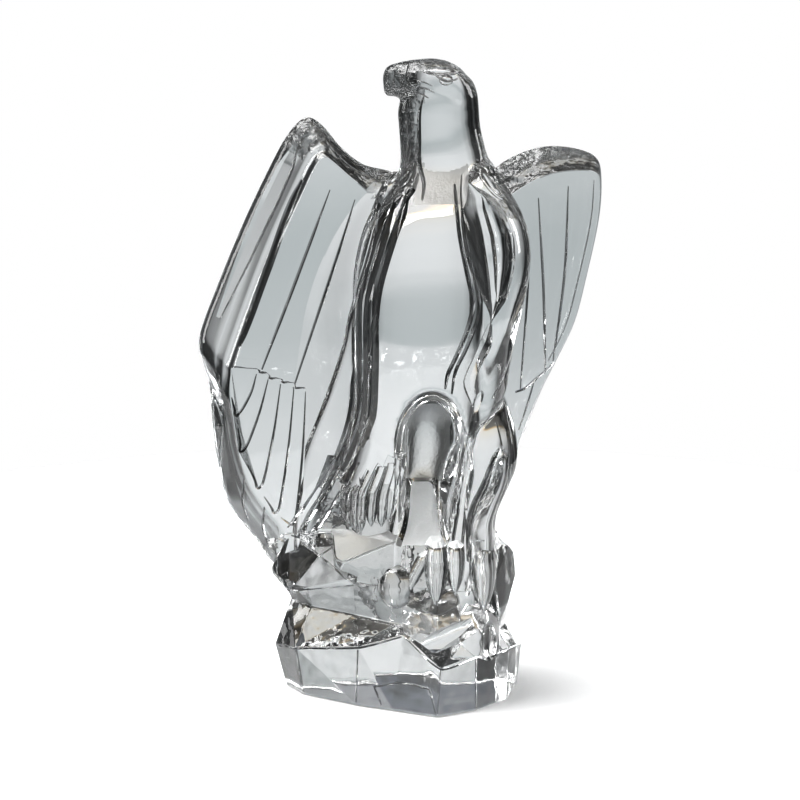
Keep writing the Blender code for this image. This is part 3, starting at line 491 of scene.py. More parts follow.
# The left wing's upper feathers end in this stepped line, and the next layer starts below it
LEFT_STEPS = [
    (-63.4, 130.8), (-53.6, 130), (-52.8, 128.6), (-49.6, 128.2), (-49, 126.2), (-45, 126.2),
    (-44.2, 124.6), (-40, 124.6), (-39.4, 122.4), (-35.4, 122.8),
]
# The rest of the outline of that next layer
LOWER_FEATHERS = [(-35.8, 100), (-37, 80), (-38.4, 60), (-90, 40), (-90, 131.5)]
# Where the lines between the lower feathers start, and the rounded tips where they end. Before the
# first tip comes the point on the wing's edge from which that feather grows.
LEFT_LINES_TOP = [(-54, 128), (-49.6, 126), (-45, 124), (-40, 122.6), (-35.6, 121)]
LEFT_LINES_TIP = [(-63.4, 122), (-61, 111.4), (-59.2, 97.4), (-52.8, 83.2), (-46.6, 73.4), (-40.4, 68.6)]
# Half the widths of such a line, along it
FEATHER_RADII = [0.3, 0.7, 0.8, 0.8, 0.8, 0.7, 0.3]
FEATHER_LINE_SHARE = 0.62


def left_front(x):
    """Depth of the left wing's front panel: its outer edge comes a little forward."""
    return -6.5 + 0.06 * (x + 40)


def right_front(x):
    """Depth of the right wing's front panel, which sweeps backwards."""
    return 4.0 + 0.30 * (x - 45)


def wing_rings(rim, panel, front_at):
    """A thick slab with a sharp rim, a fluted bevel in front of it and a plain one behind."""
    rim = closed_outline(rim, 6)
    panel = closed_outline(panel, 6)
    return [
        standing_outline(share * rim + (1 - share) * panel, front_at, depth, distance)
        for share, depth, distance in WING_SECTION
    ]


def swell_rings():
    """The left wing's inner part, which swells from the flat panel towards the breast."""
    rings = []
    for height, left, right, swell in smooth_rows(SWELL, 70):
        front = []
        for t in np.linspace(0, 1, 26):
            x = left + (right - left) * t
            rise = swell * (0.65 * t + 0.35 * t * t * (3 - 2 * t))
            front.append((x, left_front(x) + 0.5 - rise, height))
        rings.append(front + [(right, SWELL_BACK, height), (left, SWELL_BACK, height)])
    return rings


def lower_feathers_rings():
    """A cutter which lowers everything below the stepped line of the left wing."""
    outline = np.array(LEFT_STEPS + LOWER_FEATHERS, float)
    return [standing_outline(outline, left_front, depth) for depth in (-CUTTER_REACH, LAYER_STEP)]


def feather_line_rings(index):
    """A cutter along one long feather: down its right side, round the tip and up the left edge."""
    top = np.array(LEFT_LINES_TOP[index])
    previous, tip = np.array(LEFT_LINES_TIP[index : index + 2])
    down = (tip - top) / np.linalg.norm(tip - top)
    outward = np.array([down[1], -down[0]])
    before_tip = tip - 5.0 * down - 0.4 * outward
    corners = [
        top,
        0.5 * (top + before_tip) - 0.6 * outward,
        before_tip,
        tip - 0.8 * down + 0.6 * outward,
        tip - 0.6 * down + 1.8 * outward,
        0.75 * tip + 0.25 * previous + 0.8 * outward,
        0.3 * tip + 0.7 * previous + 0.8 * outward,
    ]
    points = [(x, left_front(x) + LAYER_STEP, z) for x, z in smooth_path(corners, 40)]
    shares = np.linspace(0, 1, len(FEATHER_RADII))
    radii = np.interp(np.linspace(0, 1, len(points)), shares, FEATHER_RADII)
    return vee_rings(np.array(points), radii * FEATHER_LINE_SHARE)


# ---- the rock


GROUND_BEVEL = 0.8  # height of the bevel round the underside
GROUND_SHARE = 0.985  # size of the underside, as a share of the foot
# Rings of corners from the ground up: the cut foot, its slanting shelf, a notch, and the bulge that
# carries the eagle
FOOT = [
    (-45, 8, 0), (-37.5, -3, 0), (-17, -15.5, 0), (-3, -21.5, 0), (14, -29, 0), (29, -21.5, 0), (41, -9, 0),
    (46, 8, 0), (40, 22, 0), (21, 34, 0), (-8, 36, 0), (-34, 34, 0),
]
SHELF = [
    (-49, 7, 17.5), (-40.5, -7, 20.5), (-16, -17.5, 24.3), (1, -19, 29.4), (15.5, -28.5, 19.5),
    (29, -22, 22), (42, -10, 21), (47.5, 6, 18), (42, 22, 19), (22, 36, 20), (-9, 37.5, 20), (-36, 35, 19),
]
NOTCH = [
    (-42.5, 6, 36.5), (-34, -1, 35.5), (-17, -7.5, 34), (-2, -12, 32), (12, -18, 31), (27, -19, 30),
    (38, -8, 28), (41, 4, 27), (37, 20, 29), (20, 32, 32), (-9, 35, 35), (-32, 31, 36),
]
BULGE = [
    (-48, 4, 50), (-37, -10, 50), (-18, -18.5, 52), (0, -23, 50), (14, -25.5, 50), (28, -23, 50),
    (39, -13, 49), (44, 0, 48), (39, 18, 50), (21, 31, 51), (-10, 34, 52), (-34, 32, 51),
]
CREST = [
    (-44, 4, 62), (-34, -10, 61), (-16, -18, 62), (0, -21, 63), (14, -22, 64), (28, -20, 64), (37, -10, 62),
    (41, 0, 60), (36, 16, 64), (20, 28, 68), (-10, 31, 69), (-31, 29, 67),
]
# Blocks above the foot, each given by its corners
BOULDERS = {
    "left_wedge": [
        (-49.6, 0, 50.4), (-49.4, 0, 48.2), (-42, -5, 66), (-30.1, -20, 61.3), (-19.8, -26, 53.6),
        (-42.6, -14, 44.8), (-16.5, -25, 50.6), (-15.4, -22, 53.9), (-46, 14, 62), (-46, 14, 47),
        (-18, -4, 65), (-18, -4, 49), (-22, 12, 64),
    ],
    "ledge": [
        (-24.6, -24, 61.5), (-21, -26, 60), (-12.3, -26, 63.6), (-1.9, -25, 67.6), (4, -22, 69.4),
        (-9.4, -21, 71), (-25.8, -19, 71), (-26, -2, 71.4), (2, -2, 78), (-25, -19, 51), (-12, -20.5, 49),
        (-2, -22.5, 50), (4, -19, 60),
    ],
    "prow": [
        (1.2, -20, 46.5), (8.3, -24, 49), (13.8, -29, 47.4), (20.4, -25, 49.4), (22.4, -14, 50.4),
        (2, -12, 48.5), (0.6, -22, 42.7), (13.8, -31, 41), (22.2, -27, 43.9), (1, -21.5, 31.7),
        (7.5, -26.5, 28.6), (14.2, -31.4, 33), (22.4, -28, 35), (24.6, -22, 28), (13, -28, 25),
        (22, -12, 25), (4, -12, 26),
    ],
    "right_slope": [
        (21, -26.5, 37.4), (25.6, -25, 43.3), (32.4, -22.4, 40.6), (38, -15, 20.4), (34, -22.6, 20),
        (27.4, -25.4, 23.4), (22, -27, 29), (37, -8, 40), (24, -8, 42), (26, -10, 20), (39, -8, 22),
    ],
    "right_knob": [
        (36, -15, 61), (38.4, -13, 63.6), (41.4, -11, 62.4), (43.4, -9, 58.8), (44.2, -8, 50),
        (41.4, -9, 39.4), (37, -15, 38), (35.6, -18, 50), (36, 6, 63), (43, 4, 58.5), (44, 4, 50),
        (41, 4, 38), (36, 6, 34), (38.6, -7, 31),
    ],
    "ramp": [
        (2, -24, 48), (27, -24, 48), (2, -21, 95), (27, -21, 95), (-6, 9, 48), (27, 9, 48), (-6, 9, 95),
        (27, 9, 95), (-4, -22, 64), (-4, -20, 72),
    ],
}
# Rounded hollows ground into the rock's front. Each is (centre, half sizes)
SCOOPS = {
    "left_scoop": ((-22, -35, 40), (24, 17, 9)),
    "front_dimple": ((8.4, -29.6, 20), (3.4, 4, 6.5)),
    "right_scoop": ((38.0, -25, 28.5), (7.6, 9.5, 11)),
}
BUBBLE = ((-1.4, -20.0, 49.8), (7.4, 8.0, 9.2))
# The trough that runs up to the right across the prow: its middle line, and its radii
PROW_CHANNEL = ([(3, -30, 24.6), (11, -32.4, 28), (19, -31.6, 31.4), (29, -28, 35.4)], [4, 5.6, 5.6, 4.8])


def rock_rings():
    """The rock's main rings, with a narrow bevel round the ground and a flat top."""
    bevelled_foot = [(x * GROUND_SHARE, y * GROUND_SHARE, 0) for x, y, z in FOOT]
    raised_foot = [(x, y, GROUND_BEVEL) for x, y, z in FOOT]
    inner_crest = [(x * 0.8 + 0.4, y * 0.8 + 1, z + 1.5) for x, y, z in CREST]
    return [bevelled_foot, raised_foot, SHELF, NOTCH, BULGE, CREST, inner_crest]


def rock_mesh():
    """The cut rock: crisp facets, with a narrow ground edge between them."""
    blocks = {name: hull(name, corners) for name, corners in BOULDERS.items()}
    blocks["bubble"] = ball("bubble", *BUBBLE, 48)
    hollows = {name: ball(name, *egg, 48) for name, egg in SCOOPS.items()}
    hollows["niche"] = mesh_of_rings("niche", niche_rings())
    hollows["channel"] = mesh_of_rings("channel", tube_rings(*PROW_CHANNEL, sides=24))
    return combined("rock", mesh_of_rings("rock", rock_rings(), ROCK_BEVEL), blocks, hollows)


# ---- hollows


# The arched hollow between the legs: a funnel, with a floor which rises to its back wall. Each row is
# (depth, left and right edges where the arch springs, left and right edges of the floor, height of
# the spring, of the crown, and of the floor)
NICHE = [
    (-40, -3.2, 27, -3.5, 19.5, 104, 128, 53), (-28, -2.2, 25.6, -2.4, 18.5, 104, 125.6, 62),
    (-24, -1.2, 24.6, -1.4, 17.6, 104, 123.6, 65), (-18, 0, 23.2, 0.6, 16.2, 103, 121, 69.5),
    (-9, 1.8, 20.4, 2.2, 15, 101, 116, 76.5), (-2, 3.4, 17.4, 2.7, 14.2, 98, 110.5, 82.5),
    (1.5, 5, 14.8, 4.2, 12.8, 96, 106, 86), (3, 7.5, 12.2, 7, 10.4, 95, 100, 89),
]
# Everything in front of the left hip below this ragged hem is cut away, between two depths
HEM = [
    (-28, 78), (-28, 88), (-22.6, 88.2), (-20.4, 91.4), (-18.4, 89.6), (-16.3, 93.4), (-14.5, 91.6),
    (-12.2, 95.8), (-10.4, 94), (-8.1, 98.2), (-6.3, 96.6), (-4.4, 101.4), (-2.4, 100.4), (4, 102.5),
    (4, 78),
]
HEM_DEPTHS = (-44.0, -23.4)
# The long leaf-shaped hollow in the front of the right shoulder: (height, left edge, right edge)
LEAF = [
    (202.6, 23, 24.4), (201.8, 22.2, 26), (199.2, 21.8, 30.9), (195.5, 22.2, 36.4), (190, 22.7, 40),
    (181.9, 24.5, 43.4), (175.3, 25.8, 43.8), (169.8, 27.3, 42.9), (160.5, 30, 39.8), (154.3, 31.8, 36.2),
    (150.6, 32.7, 33.5),
]
# How far forward the right shoulder stands, by height
SHOULDER_FRONT = [
    (143, -25), (154, -26), (165, -26), (176, -25.5), (185, -24), (194, -21), (201, -17), (207, -10),
]
# The leaf's two troughs, one in the other: (share of its width from, to, top, bottom, depth)
LEAF_TROUGHS = {
    "leaf": (0.0, 1.0, 202.6, 150.6, 6.0),
    "leaf_bowl": (0.3, 0.95, 199.5, 155.0, 8.5),
}
LEAF_REACH = -48.0  # depth where their cutters end, in front of the figure


def niche_rings():
    """A cutter for the hollow between the legs."""
    rings = []
    for depth, left, right, foot_left, foot_right, spring, crown, floor in smooth_rows(NICHE, 36):
        middle, reach = (left + right) / 2, (right - left) / 2
        outline = [
            (middle + reach * math.cos(a), spring + (crown - spring) * math.sin(a))
            for a in np.linspace(0, math.pi, 33)
        ]
        outline += [(foot_left, floor + 2), (foot_left + 1.5, floor)]
        outline += [(foot_right - 1.5, floor), (foot_right, floor + 2)]
        rings.append([(x, depth, z) for x, z in outline])
    return rings


def leaf_rings(left_share, right_share, top, bottom, deep):
    """A cutter for one trough of the leaf. deep is how far its lowest line lies behind the shoulder."""
    stations = np.array(LEAF[::-1], float)
    fronts = np.array(SHOULDER_FRONT, float)
    rings = []
    for height in np.linspace(bottom, top, 44):
        left, right = (np.interp(height, stations[:, 0], stations[:, k]) for k in (1, 2))
        swell = max(math.sin(math.pi * (height - bottom) / (top - bottom)), 0.03) ** 0.6
        low = left + (right - left) * left_share
        high = left + (right - left) * right_share
        middle, half = (low + high) / 2, max((high - low) / 2 * min(1.0, swell * 1.5), 0.2)
        edge_depth = np.interp(height, fronts[:, 0], fronts[:, 1]) + 0.5
        trough = [
            (middle + half * u, edge_depth + deep * swell * (1 - u * u), height)
            for u in np.linspace(-1.25, 1.25, 31)
        ]
        trough += [(middle + side * 1.3 * half, LEAF_REACH, height) for side in (1, -1)]
        rings.append(trough)
    return rings


def carved_flesh():
    """The flowing forms with the leaf and the hem cut."""
    hollows = {name: mesh_of_rings(name, leaf_rings(*trough)) for name, trough in LEAF_TROUGHS.items()}
    hollows["hem"] = mesh_of_rings("hem", [[(x, y, z) for x, z in HEM] for y in HEM_DEPTHS])
    return combined("flesh", flesh_mesh(), cut=hollows)


# ---- lines


# Each line is (path of (X, Z) points, radii along it), has a V section and follows the surface. A
# third number makes its section round: how far the middle lies under the surface, in radii.

# Along the bird's flowing forms
FLESH_LINES = {
    "valley_left": ([
        (-6.9, 195.1), (-12, 175.7), (-16.1, 161), (-17.1, 149.9), (-17.1, 138), (-17.1, 128.6),
        (-18.4, 114.2), (-23, 99), (-30, 83.7),
    ], [0.63, 1.05, 1.19, 1.33, 1.4, 1.4, 1.47, 1.61, 1.12]),
    "valley_middle": ([
        (1, 215), (0, 203), (-2.5, 194), (-7.6, 179.4), (-12.2, 162.9), (-13.5, 151.7), (-13.5, 138),
        (-13.6, 128.6), (-14.8, 114.2), (-19, 100.9), (-24.6, 87.6), (-31, 76),
    ], [0.4, 1.03, 1.27, 1.35, 1.35, 1.43, 1.5, 1.58, 1.74, 1.9, 1.9, 0.79]),
    "valley_right": ([
        (4.4, 205), (1, 192.9), (-3.3, 181.2), (-8.2, 164.7), (-9.9, 151.7), (-10, 140.6), (-10.4, 128.6),
        (-11.3, 116.1), (-14.8, 104),
    ], [0.36, 1.17, 1.44, 1.44, 1.44, 1.53, 1.62, 1.62, 0.72]),
    "lobe_line_1": ([
        (20, 200.5), (20.4, 196.1), (21.7, 183.3), (24.4, 170.5), (26.8, 159.5), (25.6, 151.4),
        (21.4, 140.9), (17.6, 132.7), (16.6, 127),
    ], [0.35, 0.63, 0.7, 0.77, 0.84, 0.84, 0.84, 0.77, 0.35]),
    "lobe_line_2": ([
        (22.6, 203.5), (22.3, 196.1), (23.9, 183.3), (26.6, 170.5), (29, 159.5), (28.2, 151.4),
        (24.4, 141.9), (20.4, 133.6), (19, 125),
    ], [0.21, 0.35, 0.42, 0.49, 0.56, 0.63, 0.7, 0.63, 0.35]),
    "lobe_rim": ([
        (33, 204), (39.6, 196), (45.4, 184), (47.4, 172), (46.6, 158), (43.4, 143), (38.6, 130),
        (34.4, 121.4),
    ], [0.28, 0.56, 0.63, 0.63, 0.63, 0.63, 0.56, 0.28]),
    "lobe_channel": ([
        (33, 150.4), (31.4, 143.3), (28.6, 137), (25.8, 128.6), (27.5, 119.5),
    ], [0.8, 2.4, 2.6, 3, 1.2], 0.1),
    "neck_edge": ([
        (8.6, 232), (7, 226), (6.8, 216), (6.8, 208), (8.6, 201), (8, 195),
    ], [0.21, 0.7, 0.84, 0.84, 0.84, 0.35]),
    "throat": ([(2.6, 231), (2.8, 222), (3, 212), (0.4, 205)], [0.19, 0.74, 0.74, 0.31]),
    "nape_line_1": ([(3.6, 214), (0.8, 206), (-3.4, 200), (-9, 195)], [0.4, 1.1, 1.1, 0.5]),
    "nape_line_2": ([(0.4, 212), (-3.6, 206.4), (-9, 203), (-13, 201.4)], [0.4, 1.1, 1.1, 0.5]),
    "nape_line_4": ([(2.4, 214), (-1.6, 205), (-6.6, 198), (-10.4, 190)], [0.3, 0.9, 0.9, 0.4]),
    "nape_line_5": ([(6.6, 204), (4.4, 198.4), (1.4, 194), (-1.6, 188)], [0.3, 0.9, 0.9, 0.4]),
    "nape_line_3": ([(5.4, 208), (3.6, 201.4), (-0.6, 197.4), (-4.6, 193)], [0.4, 1.1, 1.1, 0.5]),
    "hip_line_1": ([(-20.5, 104), (-29, 89), (-38, 75), (-43, 68)], [0.25, 0.62, 0.68, 0.31]),
    "hip_line_2": ([(-17.5, 101), (-25, 86.4), (-33.5, 72.6), (-39, 64.5)], [0.4, 1.2, 1.3, 0.5]),
    "hip_line_3": ([(-15.5, 98), (-21.5, 83.7), (-29, 70.3), (-35, 61)], [0.25, 0.62, 0.68, 0.31]),
    "gape": ([(-2.6, 234.9), (4, 235.6), (11.6, 234.4)], [0.19, 0.37, 0.19]),
    "cere": ([(3, 243), (2.2, 239), (3.4, 233.6)], [0.25, 0.37, 0.25]),
    "under_brow": ([(7.2, 242), (12.6, 239.9), (17, 237.6), (21, 238.4)], [0.25, 0.5, 0.5, 0.25]),
    "over_brow": ([(5.6, 243.2), (12, 243.4), (19, 241.6), (24, 237.6)], [0.25, 0.43, 0.43, 0.25]),
    "cheek_1": ([(6.2, 237.8), (9, 237.2), (11.8, 235.9)], [0.19, 0.31, 0.19]),
    "cheek_2": ([(6.6, 235.8), (9.6, 235), (12.6, 233.4)], [0.19, 0.31, 0.19]),
    "cheek_3": ([(5.6, 233.6), (8, 232.8), (10.4, 231.4)], [0.19, 0.31, 0.19]),
    "arch_line_1": ([
        (-1.6, 84), (-1.4, 104), (1.6, 115.6), (11.6, 123.4), (21.4, 115.8), (24.4, 104), (24, 92),
    ], [0.3, 0.5, 0.6, 0.6, 0.6, 0.5, 0.3]),
    "arch_line_2": ([
        (0.2, 86), (0.6, 103), (3.4, 113), (11.4, 119.8), (19.4, 113.2), (22.2, 103), (21.6, 93),
    ], [0.3, 0.5, 0.6, 0.6, 0.6, 0.5, 0.3]),
    "thigh_edge": ([(38, 115.5), (41, 103), (40.6, 88), (38, 74)], [0.19, 0.5, 0.5, 0.31]),
    "thigh_line": ([(36, 112), (38.2, 102), (38, 94)], [0.19, 0.37, 0.19]),
}
# On the wings
WING_LINES = {
    "left_line_1": ([(-25.9, 197.4), (-38.6, 164), (-51.9, 129.9)], [0.19, 0.56, 0.62, 0.56, 0.31]),
    "left_line_2": ([(-16.7, 193.7), (-29, 156.6), (-40.3, 122.4)], [0.19, 0.43, 0.5, 0.43, 0.31]),
    "left_flute": ([
        (-38.6, 214.6), (-44.8, 204), (-56.8, 178.8), (-69, 148.5),
    ], [1.5, 5, 6, 5, 1.5], -0.72),
    "left_step": (LEFT_STEPS, [0.3, 0.4, 0.4, 0.4, 0.3]),
    "left_bevel": ([(-36.5, 201), (-42.3, 189), (-55.8, 152), (-60.5, 139)], [0.5, 1.2, 1.3, 0.6]),
    "left_outer_1": ([(-67.3, 109), (-69.2, 86), (-63.9, 72)], [0.25, 0.56, 0.25]),
    "left_outer_2": ([(-59.3, 89), (-60.4, 78), (-58.6, 69.8)], [0.25, 0.56, 0.25]),
    "left_outer_3": ([(-51.7, 76.3), (-52.8, 68), (-51, 59.3)], [0.25, 0.56, 0.25]),
    "left_top_1": ([(-5, 202), (-13, 202.4), (-20, 206.6), (-27.5, 215)], [0.31, 0.56, 0.56, 0.31]),
    "right_line_1": ([(52, 193), (54.4, 160), (55.6, 127)], [0.19, 0.5, 0.5, 0.31]),
    "right_line_2": ([(63.4, 197), (62.6, 164), (58.6, 130)], [0.19, 0.5, 0.5, 0.31]),
    "right_line_3": ([(51, 122), (48.6, 113), (45.6, 104)], [0.25, 0.43, 0.31]),
    "right_line_4": ([(46.4, 186), (48.6, 166), (46, 120)], [0.19, 0.43, 0.43, 0.25]),
    "right_edge": ([
        (73.4, 199), (72.4, 183), (67.8, 160.6), (63.3, 143.8), (56.6, 130.4),
    ], [0.19, 0.37, 0.37, 0.25]),
    "right_step": ([(44, 119), (48, 120.4), (53, 124.4), (59.6, 129.6)], [0.37, 0.56, 0.56, 0.37]),
}
# Along the rock's edges
ROCK_LINES = {
    "shelf_left": ([(-47.5, 17.4), (-40.5, 20.1), (-16, 23.9), (0.6, 28.8)], [0.3, 0.45, 0.45, 0.3]),
    "shelf_right": ([(2, 28.6), (15.5, 19.1), (29, 21.6), (41, 20.6)], [0.3, 0.45, 0.45, 0.3]),
    "notch_left": ([(-41, 35.8), (-34, 35.1), (-17, 33.6), (-3, 31.7)], [0.3, 0.4, 0.4, 0.3]),
    "foot_edge_1": ([(-40.3, 19.5), (-37.8, 1.2)], [0.4, 0.4]),
    "foot_edge_2": ([(-16.2, 23), (-17, 1.2)], [0.3, 0.3]),
    "foot_edge_3": ([(15.4, 18.6), (14.1, 1.2)], [0.4, 0.4]),
    "foot_edge_4": ([(29, 21), (29, 1.2)], [0.3, 0.3]),
    "pane_top": ([(-10, 9), (1.5, 11.5), (11, 10.8)], [0.35, 0.45, 0.35]),
    "pane_left": ([(-10, 9), (-7, 1.5)], [0.35, 0.35]),
    "pane_right": ([(11, 10.8), (13.6, 1.5)], [0.35, 0.35]),
    "wedge_ridge": ([(-41.6, 65), (-30.1, 60.8), (-20, 53.4)], [0.3, 0.5, 0.3]),
    "wedge_foot": ([(-48.4, 48.4), (-42.6, 45.6), (-17.2, 50.9)], [0.3, 0.5, 0.3]),
    "ledge_edge": ([
        (-25.4, 69), (-24.4, 61.8), (-21, 60.4), (-12.3, 63.9), (-1.9, 67.8),
    ], [0.3, 0.45, 0.5, 0.45, 0.3]),
    "knob_edge": ([(36.4, 60.5), (36.2, 50), (37.4, 38.8)], [0.3, 0.45, 0.3]),
    "prow_edge": ([(1.6, 42.7), (13.8, 40.8), (22, 43.7)], [0.3, 0.45, 0.3]),
    "prow_ridge": ([(13.8, 46.5), (13.8, 41.2)], [0.35, 0.35]),
}
# On the tail, laid from behind
BACK_LINES = {
    "tail_1": ([(-7, 80), (-6, 62), (-3, 44)], [0.3, 0.7, 0.5]),
    "tail_2": ([(4.6, 72), (4.8, 54), (5.4, 34)], [0.3, 0.7, 0.5]),
    "tail_3": ([(14.8, 72), (14.6, 54), (14.2, 32)], [0.3, 0.7, 0.5]),
    "tail_4": ([(26, 80), (25, 62), (22.6, 40)], [0.3, 0.7, 0.5]),
}
# A raised line on the right shoulder
RIDGES = {
    "loop": ([
        (28, 208.6), (30.6, 206.8), (34.4, 201.6), (37.6, 196.4), (36.6, 195.4), (33, 198.4), (29.4, 203.2),
        (27.6, 207.4),
    ], [0.4, 0.7, 0.7, 0.7, 0.7, 0.7, 0.7, 0.4], 0.3),
}
# Egg-shaped dents: ((X, Z), (half length, half width, half depth), lean in degrees, lift)
DENTS = {
    "lobe_end": ((29.0, 120.0), (5.0, 2.0, 2.0), 14, 0.6),
    "spoon": ((32.6, 202.2), (7.6, 1.9, 2.4), -38, 0.6),
    "nostril": ((0.2, 239.4), (0.7, 1.2, 0.8), 0, 0.2),
    "jaw": ((1.2, 228.0), (3.0, 1.6, 2.0), 20, 0.9),
}


def surface_of(mesh):
    """What lines can be laid on."""
    return BVHTree.FromPolygons([v.co.copy() for v in mesh.vertices], [f.vertices[:] for f in mesh.polygons])


def laid(surface, rows, from_behind=False):
    """Points on the surface, and their radii, from rows of (X, Z, radius), looking along Y."""
    side = 1 if from_behind else -1
    found = []
    for x, z, radius in rows:
        start = Vector((x * MM, side * RAY_START, z * MM))
        hit = surface.ray_cast(start, Vector((0, -side, 0)))[0]
        if hit is not None:
            found.append((x, hit.y / MM, z, radius))
    found = np.array(found).reshape(-1, 4)
    return found[:, :3], found[:, 3]


def vee_rings(points, halves, from_behind=False):
    """Rings of a cutter with a V section, whose lower edge follows points on a surface."""
    out = 1 if from_behind else -1
    rings = []
    for point, run, half in zip(points, np.gradient(points, axis=0), halves):
        across = np.array([run[2], 0.0, -run[0]])
        across *= half / np.linalg.norm(across)
        deep = np.array([0.0, -out * VEE_STEEPNESS * half, 0.0])
        wide, above = (1 + VEE_EXCESS) * across, VEE_EXCESS * deep
        rings.append([point + deep, point + wide - above, point - wide - above])
    return rings


def groove_rings(surface, from_behind, path, radii, sink=0.0):
    """A cutter along a path on the surface: with a V section, or a round one where sink isn't zero."""
    path = np.array(path, float)
    length = np.sum(np.linalg.norm(np.diff(path, axis=0), axis=1))
    count = max(10, int(length / GROOVE_STEP))
    radii = np.interp(np.linspace(0, 1, count), np.linspace(0, 1, len(radii)), radii)
    rows = np.column_stack([smooth_path(path, count), radii])
    points, kept = laid(surface, rows, from_behind)
    if len(points) < 4:
        return []
    if not sink:
        return vee_rings(points, kept, from_behind)
    inward = -1 if from_behind else 1
    points[:, 1] += inward * sink * kept
    return tube_rings(points, kept)


def cutters_on(surface, table, from_behind=False):
    """The meshes of the lines in the table, as far as they meet the surface."""
    found = {}
    for name, line in table.items():
        rings = groove_rings(surface, from_behind, *line)
        if len(rings):
            found[name] = mesh_of_rings(name, rings)
    return found


def dent(name, surface, place, half_sizes, lean, lift):
    """An egg-shaped cutter, whose middle stands off the surface by lift. lean turns its top right."""
    point = laid(surface, [(*place, 1.0)])[0][0]
    long, wide, deep = half_sizes
    egg = ball(name, (0, 0, 0), (wide, deep, long))
    turn = Matrix.Rotation(math.radians(lean), 4, "Y")
    shift = Matrix.Translation(Vector((point[0], point[1] - lift, point[2])) * MM)
    egg.transform(shift @ turn)
    return egg


def figure_mesh():
    """The whole figure: everything joined, then every line cut."""
    rings = {
        "swell": swell_rings(),
        "right_thigh": loft(*RIGHT_LEG["thigh"]),
        "right_shank": loft(*RIGHT_LEG["shank"]),
        "left_wing": wing_rings(LEFT_WING_RIM, LEFT_WING_PANEL, left_front),
        "right_wing": wing_rings(RIGHT_WING_RIM, RIGHT_WING_PANEL, right_front),
    }
    rings.update(locks())
    rings.update({name: toe_rings(*toe) for name, toe in TOES.items()})
    flesh = carved_flesh()
    crisp = {"rock": rock_mesh()}
    crisp.update({name: mesh_of_rings(name, form) for name, form in rings.items()})
    crisp.update({name: ball(name, *egg) for name, egg in EYE_AND_BROW.items()})
    layers = {"lower_feathers": mesh_of_rings("lower_feathers", lower_feathers_rings())}
    whole = combined("whole", flesh, crisp, layers)
    surface = surface_of(whole)
    cuts = {}
    for table in (FLESH_LINES, WING_LINES, ROCK_LINES):
        cuts.update(cutters_on(surface, table))
    for index in range(len(LEFT_LINES_TOP)):
        name = f"left_feather_{index + 1}"
        cuts[name] = mesh_of_rings(name, feather_line_rings(index))
    cuts.update(cutters_on(surface, BACK_LINES, from_behind=True))
    cuts.update({name: dent(name, surface, *egg) for name, egg in DENTS.items()})
    return largest_shell(combined("figure", whole, cutters_on(surface, RIDGES), cuts))


# ---- finish and painted shade


CRYSTAL_IOR = 1.56
# How the crystal's skin is finished, and where shade is painted into it: (roughness, scale and depth of its
# long waves, scale and depth of its fine grain, tint, share of the light that passes). The near-white tints
# of polished and satin are the crystal's own; the darker tints of the others are painted shade.
FINISHES_AND_PAINTED_SHADE = {
    "polished": (0.03, 30, 0.12, 6, 0.012, (0.985, 0.992, 0.992), 1.0),
    # Rough cast, darkened by painted shade
    "rough_cast_painted_shade": (0.26, 4.6, 2.1, 1.2, 0.2, (0.42, 0.43, 0.43), 1.0),
    "satin": (0.3, 8, 0.3, 1.4, 0.1, (0.97, 0.98, 0.98), 0.5),
    # Rock and ground: a slight painted shade in their tint
    "rock": (0.02, 14, 0.75, 5, 0.03, (0.94, 0.945, 0.94), 1.0),
    "ground": (0.1, 14, 0.7, 5, 0.05, (0.94, 0.945, 0.94), 1.0),
    # Matt, and darkened by painted shade
    "matt_painted_shade": (0.3, 8, 0.3, 1, 0.25, (0.84, 0.85, 0.84), 0.92),
    # Strongly rippled, and darkened by painted shade
    "rippled_painted_shade": (0.05, 10, 1.8, 3.5, 0.06, (0.74, 0.745, 0.74), 1.0),
    # Frosted, and darkened by painted shade
    "frosted_painted_shade": (0.35, 8, 0.4, 0.8, 0.12, (0.4, 0.4, 0.39), 0.94),
    # Polished, and darkened by painted shade
    "toe": (0.03, 9, 1.3, 4, 0.05, (0.56, 0.565, 0.56), 1.0),
    # Satin, and darkened by painted shade
    "ledge": (0.3, 8, 0.3, 1.4, 0.1, (0.68, 0.69, 0.68), 0.75),
}
# Where wing tip, face and throat keep their rough-cast skin and its painted shade: (centre, radius)
ROUGH_PATCHES = [
    ((-36, 2, 217), 8), ((-1, -2, 238), 11), ((4, -4, 233), 8), ((8, -4, 243), 6), ((14, -4, 245), 5),
    ((1, -4, 226), 6.5), ((1, -5, 219), 6.5), ((1, -6, 212), 7), ((0, -8, 205), 9), ((-5, -10, 200), 8),
    ((-10, -8, 202), 7),
]


